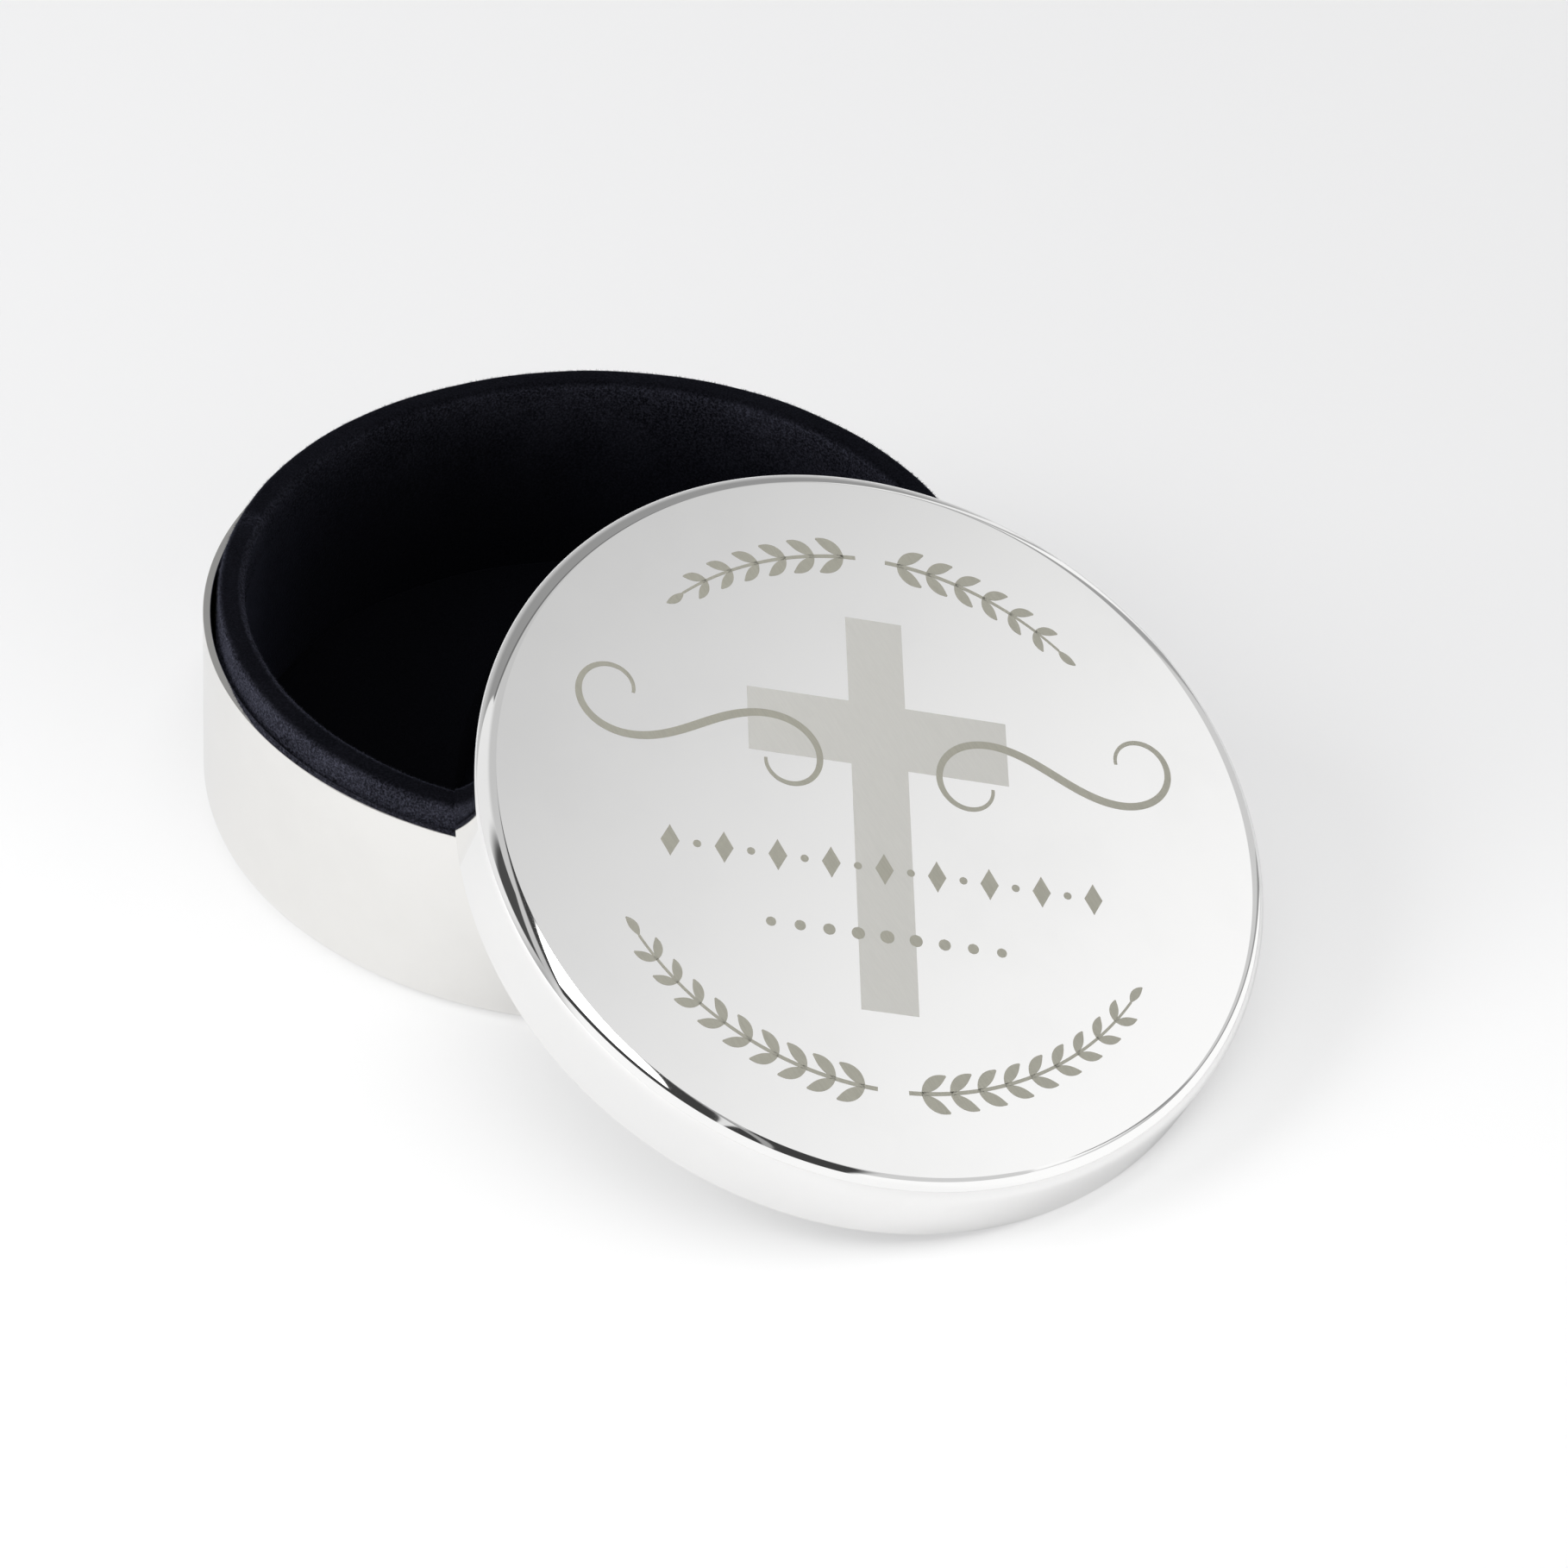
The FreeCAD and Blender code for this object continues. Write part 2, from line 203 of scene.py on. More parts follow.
class EtchingSizes(bpy.types.PropertyGroup):
    """Sizes of the etched design on the lid's top."""

    turn: angle("Turn", "Design's upright, from the lean", np.radians(147.6))
    cross_top: length("Cross top", "Upper end of the upright", 25.2 * MM)
    cross_foot: length("Cross foot", "Lower end of the upright, below the middle", 24.0 * MM)
    cross_half: length("Upright half width", "Half the upright's width", 3.25 * MM)
    arm_reach: length("Arm reach", "Middle to the end of an arm", 14.9 * MM)
    arm_half: length("Arm half width", "Half the arms' width", 4.0 * MM)
    arm_level: length("Arm level", "Middle of the arms above the lid's middle", 10.3 * MM)
    garland_radius: length("Garland radius", "Middle of the leaf garlands", 33.3 * MM)
    upper_spread: angle("Upper spread", "Middle to a tip of the upper garland", np.radians(41.0))
    lower_spread: angle("Lower spread", "Middle to a tip of the lower garland", np.radians(56.0))
    upper_leaves: count_of("Upper leaves", "Places for leaves on half of the upper garland", 7)
    lower_leaves: count_of("Lower leaves", "Places for leaves on half of the lower garland", 10)
    scroll_pace: length("Scroll size", "Rate at which the scrolls curl in", 8.2 * MM)
    scroll_turns: FloatProperty(name="Scroll turns", description="Turns at a scroll's end", default=0.85)
    scroll_side: length("Scroll side", "Lid's middle to a scroll's middle, sideways", 20.5 * MM)
    scroll_level: length("Scroll level", "Lid's middle to a scroll's middle, upwards", 8.5 * MM)
    scroll_tilt: angle("Scroll tilt", "Lean of a scroll's middle", np.radians(-28.0))
    line_half: length("Line half width", "Half the width of the scroll's line", 0.5 * MM)
    row_drop: length("Row drop", "Row of lozenges, below the lid's middle", 6.5 * MM)
    row_reach: length("Row reach", "Middle of the row to its last lozenge", 24.0 * MM)
    row_count: count_of("Row count", "Lozenges in the row", 9)
    lozenge_half: length("Lozenge half width", "Half a lozenge's width", 1.05 * MM)
    lozenge_rise: length("Lozenge half height", "Half a lozenge's height", 1.9 * MM)
    stop_reach: length("Stop reach", "Middle of the row to the last dot between lozenges", 21.0 * MM)
    stop_half: length("Stop half width", "Half a dot between lozenges", 0.45 * MM)
    dot_drop: length("Dot drop", "Row of dots, below the lid's middle", 14.8 * MM)
    dot_reach: length("Dot reach", "Middle of the row to its last dot", 13.0 * MM)
    dot_count: count_of("Dot count", "Dots in the row", 9)
    dot_half: length("Dot half width", "Half the middle dot's width", 0.8 * MM)
    dot_taper: length("Dot taper", "What half a dot loses to the one next to it", 0.06 * MM)
    relief: length("Relief", "Rise of the etched faces above the plating", 0.015 * MM)
    sink: length("Sink", "Depth of the etched pieces' undersides in the plating", 0.05 * MM)


class FinishColours(bpy.types.PropertyGroup):
    """Colours of the finishes."""

    bowl_plating: colour("Bowl plating", "Polished plating of the bowl", (0.905, 0.897, 0.878))
    lid_plating: colour("Lid plating", "Polished plating of the lid", (0.94, 0.938, 0.934))
    # Velvet: its own navy in painted shade, the same in painted light, and the nap's hairs in painted light
    velvet_shaded: colour("Velvet shade", "Velvet seen into its pile", (0.0012, 0.0013, 0.0022))
    velvet_lit: colour("Velvet light", "Velvet seen across its pile", (0.080, 0.082, 0.113))
    nap_hair_lit: colour("Nap", "Loose hairs of the pile", (0.15, 0.154, 0.2))
    cross_matt: colour("Etched cross", "Matt face of the cross", (0.515, 0.51, 0.485))
    line_matt: colour("Etched lines", "Matt face of the ornament", (0.325, 0.318, 0.272))
    card: colour("Card", "Grey board in the lining", (0.42, 0.40, 0.37))
    wadding: colour("Wadding", "White padding under the velvet", (0.82, 0.81, 0.78))
    # Table: its colour at the front, and painted shade darker towards the back
    table: colour("Table", "Pale table near the front", (0.975, 0.975, 0.975))
    table_back_shade: colour("Table back", "Pale table towards the back", (0.84, 0.84, 0.845))


class StageSizes(bpy.types.PropertyGroup):
    """Camera and table."""

    lens: FloatProperty(name="Lens", description="Focal length in millimetres", default=133.08, unit="CAMERA")
    camera_place: position("Camera", "Camera's place", (0.41774, -0.32864, 0.41068))
    camera_aim: position("Aim", "Point in the middle of the view", (0.02682, 0.00588, 0.015))
    camera_roll: angle("Roll", "Turn about the line of sight", np.radians(4.037))
    key_place: position("Key lamp", "Place of the soft lamp at the front left", (-0.16, -0.72, 0.54))
    key_size: length("Key size", "Width of the soft lamp", 0.5)
    key_power: FloatProperty(
        name="Key power", description="Power of the soft lamp", default=5.0, unit="POWER"
    )
    table_half: length("Table", "Half the table's side", 3.0)


# Shapes


def arc_run(middle, radius, start, end, side=1.0, steps=ARC_STEPS):
    """Arc of an outline: middle + radius * (cos a, sin a) for a from start to end in degrees.

    Each row is a point (r, z) and its unit normal, which points away from the middle,
    or to it where side is -1.
    """
    sweep = np.radians(np.linspace(start, end, steps))
    way = np.stack([np.cos(sweep), np.sin(sweep)], axis=1)
    return np.hstack([np.array(middle) + radius * way, side * way])


def straight_run(start, end, steps=2):
    """Straight part of an outline, start + u * (end - start); its normal is to the right of the travel."""
    share = np.linspace(0.0, 1.0, steps)[:, None]
    travel = np.array(end) - np.array(start)
    normal = np.array([travel[1], -travel[0]]) / np.hypot(*travel)
    return np.hstack([np.array(start) + share * travel, np.broadcast_to(normal, (steps, 2))])


def turned_skin(outline, sectors, joined):
    """Carry an outline round the Z axis: (r, z) at turn t goes to (r cos t, r sin t, z).

    A joined outline closes on itself; any other starts and ends on the axis, in one point at each pole.
    Returns points, normals and faces.
    """
    rows = outline if joined else outline[1:-1]
    turn = np.linspace(0.0, 2.0 * np.pi, sectors, endpoint=False)[:, None]
    swing = np.stack([np.cos(turn), np.sin(turn)])

    def carry(reach, level):
        flat = np.broadcast_to(level, (sectors, len(level)))
        return np.stack([swing[0] * reach, swing[1] * reach, flat], axis=-1).reshape(-1, 3)

    points = carry(rows[:, 0], rows[:, 1])
    normals = carry(rows[:, 2], rows[:, 3])
    count = len(rows)
    step = np.arange(count if joined else count - 1)
    here = np.arange(sectors)[:, None] * count
    there = np.roll(here, -1, axis=0)
    ahead = (step + 1) % count
    quads = np.stack([here + step, there + step, there + ahead, here + ahead], axis=-1).reshape(-1, 4)
    faces = quads.tolist()
    if not joined:
        first = len(points)
        poles = outline[[0, -1]]
        points = np.vstack([points, np.column_stack([np.zeros((2, 2)), poles[:, 1]])])
        normals = np.vstack([normals, np.column_stack([np.zeros((2, 2)), np.sign(poles[:, 3])])])
        hub = np.zeros_like(here)
        start_fan = np.hstack([hub + first, there, here])
        end_fan = np.hstack([hub + first + 1, here + count - 1, there + count - 1])
        faces += start_fan.tolist() + end_fan.tolist()
    return points, normals, faces


# Waves in the padding: height, waves in a turn, slant with the level, start; and the level's unit
WAVES = ((1.0, 5, 0.7, 0.4), (0.7, 11, -0.9, 2.1), (0.5, 23, 0.5, 4.0))
WAVE_LEVEL = 6.0 * MM
# How fast the collar's hump falls off, and the share of the press that the collar's inner edge takes
HUMP_POWER = 4
INNER_PRESS = 0.4
# Depths below the collar's crest between which the press fades out
PRESS_FADE = (3.0 * MM, 5.0 * MM)
# Painted light on the velvet: its least anywhere, on the crest, on the outer face, a painted highlight over
# the inner edge, and painted light down the inner wall that fades into painted shade lower down
LIGHT_LEAST = 0.02
CREST_LIGHT = 0.05
OUTER_LEAST = 0.5
OUTER_POWER = 2.6
EDGE_LEAST = 0.04
EDGE_GAIN = 1.2
EDGE_POWER = 6
WALL_MOST = 0.7
WALL_LOSS = 0.4
WALL_POWER = 6
WALL_FADE = 5.0 * MM


def turn_of(points):
    """Turn of points about the Z axis."""
    return np.arctan2(points[:, 1], points[:, 0])


def facing(turn, way):
    """Half of 1 + cos(turn - way): 1 where a turn lies along a way, and 0 across from it."""
    return 0.5 + 0.5 * np.cos(turn - way)


def slow_waves(points, size):
    """Unevenness of hand-laid padding: slow sine waves of the turn and the level, added up to a size."""
    turn = turn_of(points)
    level = points[:, 2] / WAVE_LEVEL
    waves = [height * np.sin(count * turn + slant * level + start) for height, count, slant, start in WAVES]
    return size * sum(waves) / sum(wave[0] for wave in WAVES)


def near_turn(points, lining, turn, reach):
    """How near points are to a turn: exp(-(d / reach)^2), where d is the chord to it along the collar."""
    chord = 2.0 * lining.collar_radius * np.sin(0.5 * (turn_of(points) - turn))
    return np.exp(-((chord / reach) ** 2))


def settled(points, lining, pressed=0.0):
    """Let the lining stand a little uneven.

    It slopes up one way to a hump, leans back from it and dips at its join, in step with the height above its
    foot.
    Points that are pressed also move in towards the axis at the collar, most of all on its outer face.
    """
    way = np.array([np.cos(lining.settle_turn), np.sin(lining.settle_turn), 0.0])
    height = points[:, 2] - lining.collar_foot
    share = np.clip(height / (lining.collar_top - lining.collar_foot), 0.0, 1.0)
    rise = lining.settle * (points @ way)
    rise = rise + lining.hump * facing(turn_of(points), lining.settle_turn) ** HUMP_POWER
    rise = rise - lining.join_dip * near_turn(points, lining, lining.join_turn, lining.join_reach)
    reach = np.linalg.norm(points[:, :2], axis=1)
    outer = 1.0 - (1.0 - INNER_PRESS) * (lining.collar_radius - reach) / lining.collar_width
    grip = np.interp(lining.collar_top - points[:, 2], PRESS_FADE, (1.0, 0.0))
    grip = grip * near_turn(points, lining, lining.press_turn, lining.press_reach)
    inward = (pressed * lining.press * outer * grip / reach)[:, None]
    moved = points * (1.0 - inward * np.array([1.0, 1.0, 0.0]))
    return moved + np.outer(rise * share, [0.0, 0.0, 1.0]) - np.outer(height * lining.settle, way)


def painted_velvet_light(lining, turn, out, up, level):
    """How much painted light falls on velvet: on an outer face, as a painted highlight over an inner edge and
    down an inner wall, with painted shade elsewhere.

    out and up are the parts of the normal away from the axis and upwards. The painted light is strongest on
    the outer face at one turn, on the inner edge at another and on the inner wall across from that.
    """
    front = facing(turn, lining.front_turn)
    lit_side = facing(turn, lining.lit_turn)
    inner = np.clip(-out, 0.0, 1.0)
    above = np.clip(up, 0.0, 1.0)
    outer_face = (OUTER_LEAST + (1.0 - OUTER_LEAST) * lit_side ** 2) * np.clip(out, 0.0, 1.0) ** OUTER_POWER
    inner_edge = (EDGE_LEAST + EDGE_GAIN * front ** EDGE_POWER) * inner * above
    depth = np.exp((level - lining.collar_top) / WALL_FADE)
    inner_wall = (WALL_MOST - WALL_LOSS * front) * inner ** WALL_POWER * depth
    return np.clip(LIGHT_LEAST + outer_face + CREST_LIGHT * above + inner_edge + inner_wall, 0.0, 1.0)


def lid_axes(lid):
    """Axes and origin of the leaning lid.

    The joint's axis gives the lean, and the CAD node's lowest and furthest points give the place.
    """
    axis = np.array(frame["joints"][0]["axis"])
    axis = axis / np.linalg.norm(axis)
    sine, cosine = axis[0], axis[2]
    slope = np.array([cosine, 0.0, -sine])
    side = np.cross(axis, slope)
    foot = (lid.outer_radius - lid.rim_round) * sine + lid.rim_round * (1.0 - cosine)
    reach = (lid.outer_radius - lid.shoulder) * cosine + (lid.height - lid.shoulder) * sine + lid.shoulder
    origin = np.array([node_top("lid_shell").x - reach, 0.0, node_foot("lid_shell").z + foot])
    return np.stack([slope, side, axis]), origin


def on_lid(lid, points):
    """Move points from the lid's own axes to its leaning place."""
    axes, origin = lid_axes(lid)
    return points @ axes + origin


def lid_top_level(lid, reach):
    """Level of the lid's dome at a distance r from its middle: height + dome * (1 - (r / top radius)^2)."""
    return lid.height + lid.dome * (1.0 - (reach / (lid.outer_radius - lid.shoulder)) ** 2)


def ribbons(paths, halves, low, high, lid, turn):
    """Flat closed strips on the lid's dome, one for each path.

    At each point of a path, two edges stand a half width to either side of the way, at the levels low and
    high above the dome. paths is strips x points x 2, halves is strips x points.
    """
    way = np.gradient(paths, axis=1)
    way = way / np.linalg.norm(way, axis=-1, keepdims=True)
    left = np.stack([-way[..., 1], way[..., 0]], axis=-1) * halves[..., None]
    ring = np.stack([paths - left, paths + left, paths + left, paths - left], axis=2)
    right_way = np.array([np.sin(turn), -np.cos(turn)])
    up_way = np.array([np.cos(turn), np.sin(turn)])
    flat = ring[..., :1] * right_way + ring[..., 1:] * up_way
    level = lid_top_level(lid, np.linalg.norm(flat, axis=-1)) + np.array([low, low, high, high])
    points = np.concatenate([flat, level[..., None]], axis=-1).reshape(-1, 3)
    strips, count, sides = ring.shape[:3]
    base = (np.arange(strips) * count * sides)[:, None, None]
    here = base + (np.arange(count - 1) * sides)[None, :, None]
    there = here + sides
    corner = np.arange(sides)[None, None, :]
    ahead = (corner + 1) % sides
    walls = np.stack([here + corner, here + ahead, there + ahead, there + corner], axis=-1)
    start = base[:, 0] + np.arange(sides)[::-1]
    end = base[:, 0] + (count - 1) * sides + np.arange(sides)
    faces = np.vstack([walls.reshape(-1, sides), start, end])
    return points, faces.tolist()


def put_mesh(name, points, faces, finish, normals=None, pile=None):
    """Smooth mesh object from arrays, with its finish, and normals or a level of painted light and shade if
    given.
    """
    mesh = bpy.data.meshes.new(name)
    mesh.from_pydata(points.tolist(), [], faces)
    mesh.polygons.foreach_set("use_smooth", np.ones(len(mesh.polygons), dtype=bool))
    if normals is not None:
        mesh.normals_split_custom_set_from_vertices(normals.tolist())
    if pile is not None:
        painted_share = mesh.attributes.new("painted_light_and_shade", "FLOAT", "POINT")
        painted_share.data.foreach_set("value", np.broadcast_to(pile, len(points)).astype(np.float32))
    mesh.materials.append(finish)
    piece = bpy.data.objects.new(name, mesh)
    bpy.context.scene.collection.objects.link(piece)
    return piece


def seat(piece, body, slot, *nodes):
    """Let a piece ride on its body and stand for CAD nodes; its slot is not used."""
    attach(piece, body)
    if nodes:
        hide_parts(*nodes)
    return piece


# Finishes


# Spans of noise that show as haze, hairlines, tufts, brushed patches, fibres and the etching tool's hatch
HAZE_SPAN = (0.42, 0.75)
HAIRLINE_SPAN = (0.6, 0.8)
TUFT_SPAN = (0.32, 0.8)
PATCH_SPAN = (0.35, 0.7)
FIBRE_SPAN = (0.3, 0.7)
HATCH_SPAN = (0.3, 0.7)
# Stretch of the noise along each axis for the two ways of buffing, for fibres and for the hatch
HAIRLINE_STRETCH = ((900.0, 900.0, 14000.0), (15000.0, 1100.0, 1100.0))
FIBRE_STRETCH = (1.0, 3.0, 1.7)
HATCH_STRETCH = (500.0, 6000.0, 500.0)
# Scales of the noise, per metre
HAZE_SCALE = 55.0
SWELL_SCALE = 38.0
TUFT_SCALE = 3900.0
PATCH_SCALE = 140.0
BOARD_SCALE = 1400.0
WADDING_SCALE = 900.0
# Plating: tone of the haze, roughness from clear to hazy, what hairlines add to it, and swell of the sheets
HAZE_TONE = 0.975
PLATING_ROUGHNESS = (0.028, 0.05)
HAIRLINE_ROUGHNESS = 0.03
BOWL_SWELL = 0.006 * MM
LID_SWELL = 0.004 * MM
# Velvet: share of tufts in its specks, height of patches to tufts, depth of the pile, and sheen by piece
TUFT_SHARE = 0.85
PATCH_HEIGHT = 0.6
PILE_DEPTH = 0.12 * MM
SHEEN_TINT = (0.42, 0.46, 0.72, 1.0)
WALL_SHEEN = 0.06
NAP_SHEEN = 0.05
FLOOR_SHEEN = 0.015
# Etched metal: how much paler its hatch is, the noise and roughness at its ends, and the hatch's depth
CROSS_PALER = 1.05
LINE_PALER = 1.1
ETCH_NOISE = (0.2, 0.8)
ETCH_ROUGHNESS = (0.62, 0.8)
HATCH_DEPTH = 0.02 * MM
# Board and wadding: tone of the mottle and depth of the fibres
MOTTLE_TONE = 0.8
BOARD_DEPTH = 0.05 * MM
WADDING_DEPTH = 0.2 * MM
# Table: way from its back to its front, where its painted shade changes, and how much of it is its own white
TABLE_WAY = (0.77, -0.64, 0.0)
TABLE_SPAN = (-0.06, 0.07)
TABLE_WHITE = 0.5
MIRRORED_WHITE = 0.35
MIRRORED_LEVEL = 0.7


def add_node(tree, kind, settings=None, inputs=None):
    """New node with its settings, and with each input set to a value or linked from a socket."""
    node = tree.nodes.new(kind)
    for name, value in (settings or {}).items():
        setattr(node, name, value)
    for name, value in (inputs or {}).items():
        if isinstance(value, bpy.types.NodeSocket):
            tree.links.new(value, node.inputs[name])
        else:
            node.inputs[name].default_value = value
    return node


def sum_of(tree, operation, *values):
    """Result of a Math node on values or sockets."""
    return add_node(tree, "ShaderNodeMath", {"operation": operation}, dict(enumerate(values))).outputs[0]


def ease(tree, value, start, end, low=0.0, high=1.0):
    """Value that goes smoothly from low at start to high at end."""
    ranges = {"Value": value, "From Min": start, "From Max": end, "To Min": low, "To Max": high}
    smooth = {"interpolation_type": "SMOOTHSTEP"}
    return add_node(tree, "ShaderNodeMapRange", smooth, ranges).outputs["Result"]


def along(tree, place, way):
    """How far a place lies along a way: their dot product."""
    inputs = {0: place, 1: way}
    return add_node(tree, "ShaderNodeVectorMath", {"operation": "DOT_PRODUCT"}, inputs).outputs["Value"]


def noise(tree, where, scale, detail=2.0, roughness=0.5):
    """Grey of a noise texture."""
    inputs = {"Vector": where, "Scale": scale, "Detail": detail, "Roughness": roughness}
    return add_node(tree, "ShaderNodeTexNoise", None, inputs).outputs["Fac"]


def stretch(tree, where, scale):
    """Place scaled along each axis."""
    return add_node(tree, "ShaderNodeMapping", None, {"Vector": where, "Scale": scale}).outputs["Vector"]


def tone(tree, mask, first, second):
    """Colour from first to second by a mask."""
    inputs = {0: mask, 6: (*first, 1.0), 7: (*second, 1.0)}
    return add_node(tree, "ShaderNodeMix", {"data_type": "RGBA"}, inputs).outputs[2]


def new_group(name, sizes, results):
    """Empty shader node group: it takes a place and named sizes, and gives named results."""
    tree = bpy.data.node_groups.new(name, "ShaderNodeTree")
    tree.interface.new_socket(name="Place", in_out="INPUT", socket_type="NodeSocketVector")
    for way, labels in (("INPUT", sizes), ("OUTPUT", results)):
        for label in labels:
            tree.interface.new_socket(name=label, in_out=way, socket_type="NodeSocketFloat")
    return tree, tree.nodes.new("NodeGroupInput").outputs, tree.nodes.new("NodeGroupOutput").inputs


def polish_marks():
    """Group: what buffing leaves on plating, as haze, hairlines and a slow swell of the sheet."""
    name = "polish_marks"
    if name in bpy.data.node_groups:
        return bpy.data.node_groups[name]
    tree, given, result = new_group(name, ("Haze scale", "Swell scale"), ("Haze", "Hairlines", "Swell"))
    cloud = noise(tree, given["Place"], given["Haze scale"], 4.0, 0.6)
    tree.links.new(ease(tree, cloud, *HAZE_SPAN), result["Haze"])
    first, second = (noise(tree, stretch(tree, given["Place"], scale), 1.0) for scale in HAIRLINE_STRETCH)
    lines = sum_of(tree, "MAXIMUM", first, second)
    tree.links.new(ease(tree, lines, *HAIRLINE_SPAN), result["Hairlines"])
    tree.links.new(noise(tree, given["Place"], given["Swell scale"], 1.0), result["Swell"])
    return tree


def pile_lay():
    """Group: how velvet lies, as single tufts, brushed patches and a height for both."""
    name = "pile_lay"
    if name in bpy.data.node_groups:
        return bpy.data.node_groups[name]
    tree, given, result = new_group(name, ("Tuft scale", "Patch scale"), ("Tufts", "Patches", "Height"))
    tufts = noise(tree, given["Place"], given["Tuft scale"], 2.0, 0.65)
    patches = noise(tree, given["Place"], given["Patch scale"], 2.0, 0.55)
    tree.links.new(ease(tree, tufts, *TUFT_SPAN), result["Tufts"])
    tree.links.new(ease(tree, patches, *PATCH_SPAN), result["Patches"])
    height = sum_of(tree, "MULTIPLY_ADD", patches, PATCH_HEIGHT, tufts)
    tree.links.new(height, result["Height"])
    return tree


def paper_fibres():
    """Group: matted fibres of board and wadding, as a mottle and a height."""
    name = "paper_fibres"
    if name in bpy.data.node_groups:
        return bpy.data.node_groups[name]
    tree, given, result = new_group(name, ("Fibre scale",), ("Mottle", "Height"))
    fibres = noise(tree, stretch(tree, given["Place"], FIBRE_STRETCH), given["Fibre scale"], 6.0, 0.65)
    tree.links.new(ease(tree, fibres, *FIBRE_SPAN), result["Mottle"])
    tree.links.new(fibres, result["Height"])
    return tree


def new_finish(name):
    """New material with its node tree, shader and object coordinates."""
    finish = bpy.data.materials.new(name)
    finish.use_nodes = True
    tree = finish.node_tree
    place = add_node(tree, "ShaderNodeTexCoord").outputs["Object"]
    return finish, tree, tree.nodes["Principled BSDF"], place


def use_group(tree, group, inputs):
    """Group placed in a material with its own values."""
    return add_node(tree, "ShaderNodeGroup", {"node_tree": group}, inputs).outputs


def raise_by(tree, shader, height, distance, strength=1.0):
    """Bump of a shader by a height."""
    inputs = {"Height": height, "Distance": distance, "Strength": strength}
    bump = add_node(tree, "ShaderNodeBump", None, inputs)
    tree.links.new(bump.outputs["Normal"], shader.inputs["Normal"])


def plating(name, metal_colour, swell):
    """Mirror-polished plating: a little haze and hairlines in its gloss, and a slow swell in its sheet."""
    if name in bpy.data.materials:
        return bpy.data.materials[name]
    finish, tree, shader, place = new_finish(name)
    sizes = {"Place": place, "Haze scale": HAZE_SCALE, "Swell scale": SWELL_SCALE}
    marks = use_group(tree, polish_marks(), sizes)
    deeper = tuple(HAZE_TONE * part for part in metal_colour)
    tree.links.new(tone(tree, marks["Haze"], metal_colour, deeper), shader.inputs["Base Color"])
    gloss = ease(tree, marks["Haze"], 0.0, 1.0, *PLATING_ROUGHNESS)
    scuffed = sum_of(tree, "MULTIPLY_ADD", marks["Hairlines"], HAIRLINE_ROUGHNESS, gloss)
    tree.links.new(scuffed, shader.inputs["Roughness"])
    shader.inputs["Metallic"].default_value = 1.0
    raise_by(tree, shader, marks["Swell"], swell)
    return finish


def velvet(name, shaded, lit, sheen):
    """Velvet: dark in painted shade and lighter in painted light, with tufts, brushed patches and a soft
    sheen.
    """
    if name in bpy.data.materials:
        return bpy.data.materials[name]
    finish, tree, shader, place = new_finish(name)
    sizes = {"Place": place, "Tuft scale": TUFT_SCALE, "Patch scale": PATCH_SCALE}
    pile = use_group(tree, pile_lay(), sizes)
    patches = sum_of(tree, "MULTIPLY", pile["Patches"], 1.0 - TUFT_SHARE)
    specks = sum_of(tree, "MULTIPLY_ADD", pile["Tufts"], TUFT_SHARE, patches)
    # Painted light and shade from the mesh, laid over the tufts' and patches' own tone
    painted_share = add_node(tree, "ShaderNodeAttribute", {"attribute_name": "painted_light_and_shade"}).outputs["Fac"]
    shown = sum_of(tree, "MULTIPLY", specks, painted_share)
    tree.links.new(tone(tree, shown, shaded, lit), shader.inputs["Base Color"])
    shader.inputs["Roughness"].default_value = 0.95
    shader.inputs["Specular IOR Level"].default_value = 0.04
    shader.inputs["Sheen Weight"].default_value = sheen
    shader.inputs["Sheen Roughness"].default_value = 0.38
    shader.inputs["Sheen Tint"].default_value = SHEEN_TINT
    raise_by(tree, shader, pile["Height"], PILE_DEPTH, 0.8)
    return finish


def matt_etch(name, face, gain):
    """Etched metal: matt, warm grey, with the fine paler hatch of the tool."""
    if name in bpy.data.materials:
        return bpy.data.materials[name]
    finish, tree, shader, place = new_finish(name)
    hatch = noise(tree, stretch(tree, place, HATCH_STRETCH), 1.0)
    paler = tuple(gain * part for part in face)
    tree.links.new(tone(tree, ease(tree, hatch, *HATCH_SPAN), face, paler), shader.inputs["Base Color"])
    tree.links.new(ease(tree, hatch, *ETCH_NOISE, *ETCH_ROUGHNESS), shader.inputs["Roughness"])
    shader.inputs["Metallic"].default_value = 0.15
    shader.inputs["Specular IOR Level"].default_value = 0.25
    raise_by(tree, shader, hatch, HATCH_DEPTH, 0.5)
    return finish


def fibre_stock(name, face, fibre_scale, depth):
    """Board or wadding: matted fibres with a mottled colour."""
    if name in bpy.data.materials:
        return bpy.data.materials[name]
    finish, tree, shader, place = new_finish(name)
    fibres = use_group(tree, paper_fibres(), {"Place": place, "Fibre scale": fibre_scale})
    darker = tuple(MOTTLE_TONE * part for part in face)
    tree.links.new(tone(tree, fibres["Mottle"], darker, face), shader.inputs["Base Color"])
    shader.inputs["Roughness"].default_value = 0.95
    raise_by(tree, shader, fibres["Height"], depth, 0.7)
    return finish


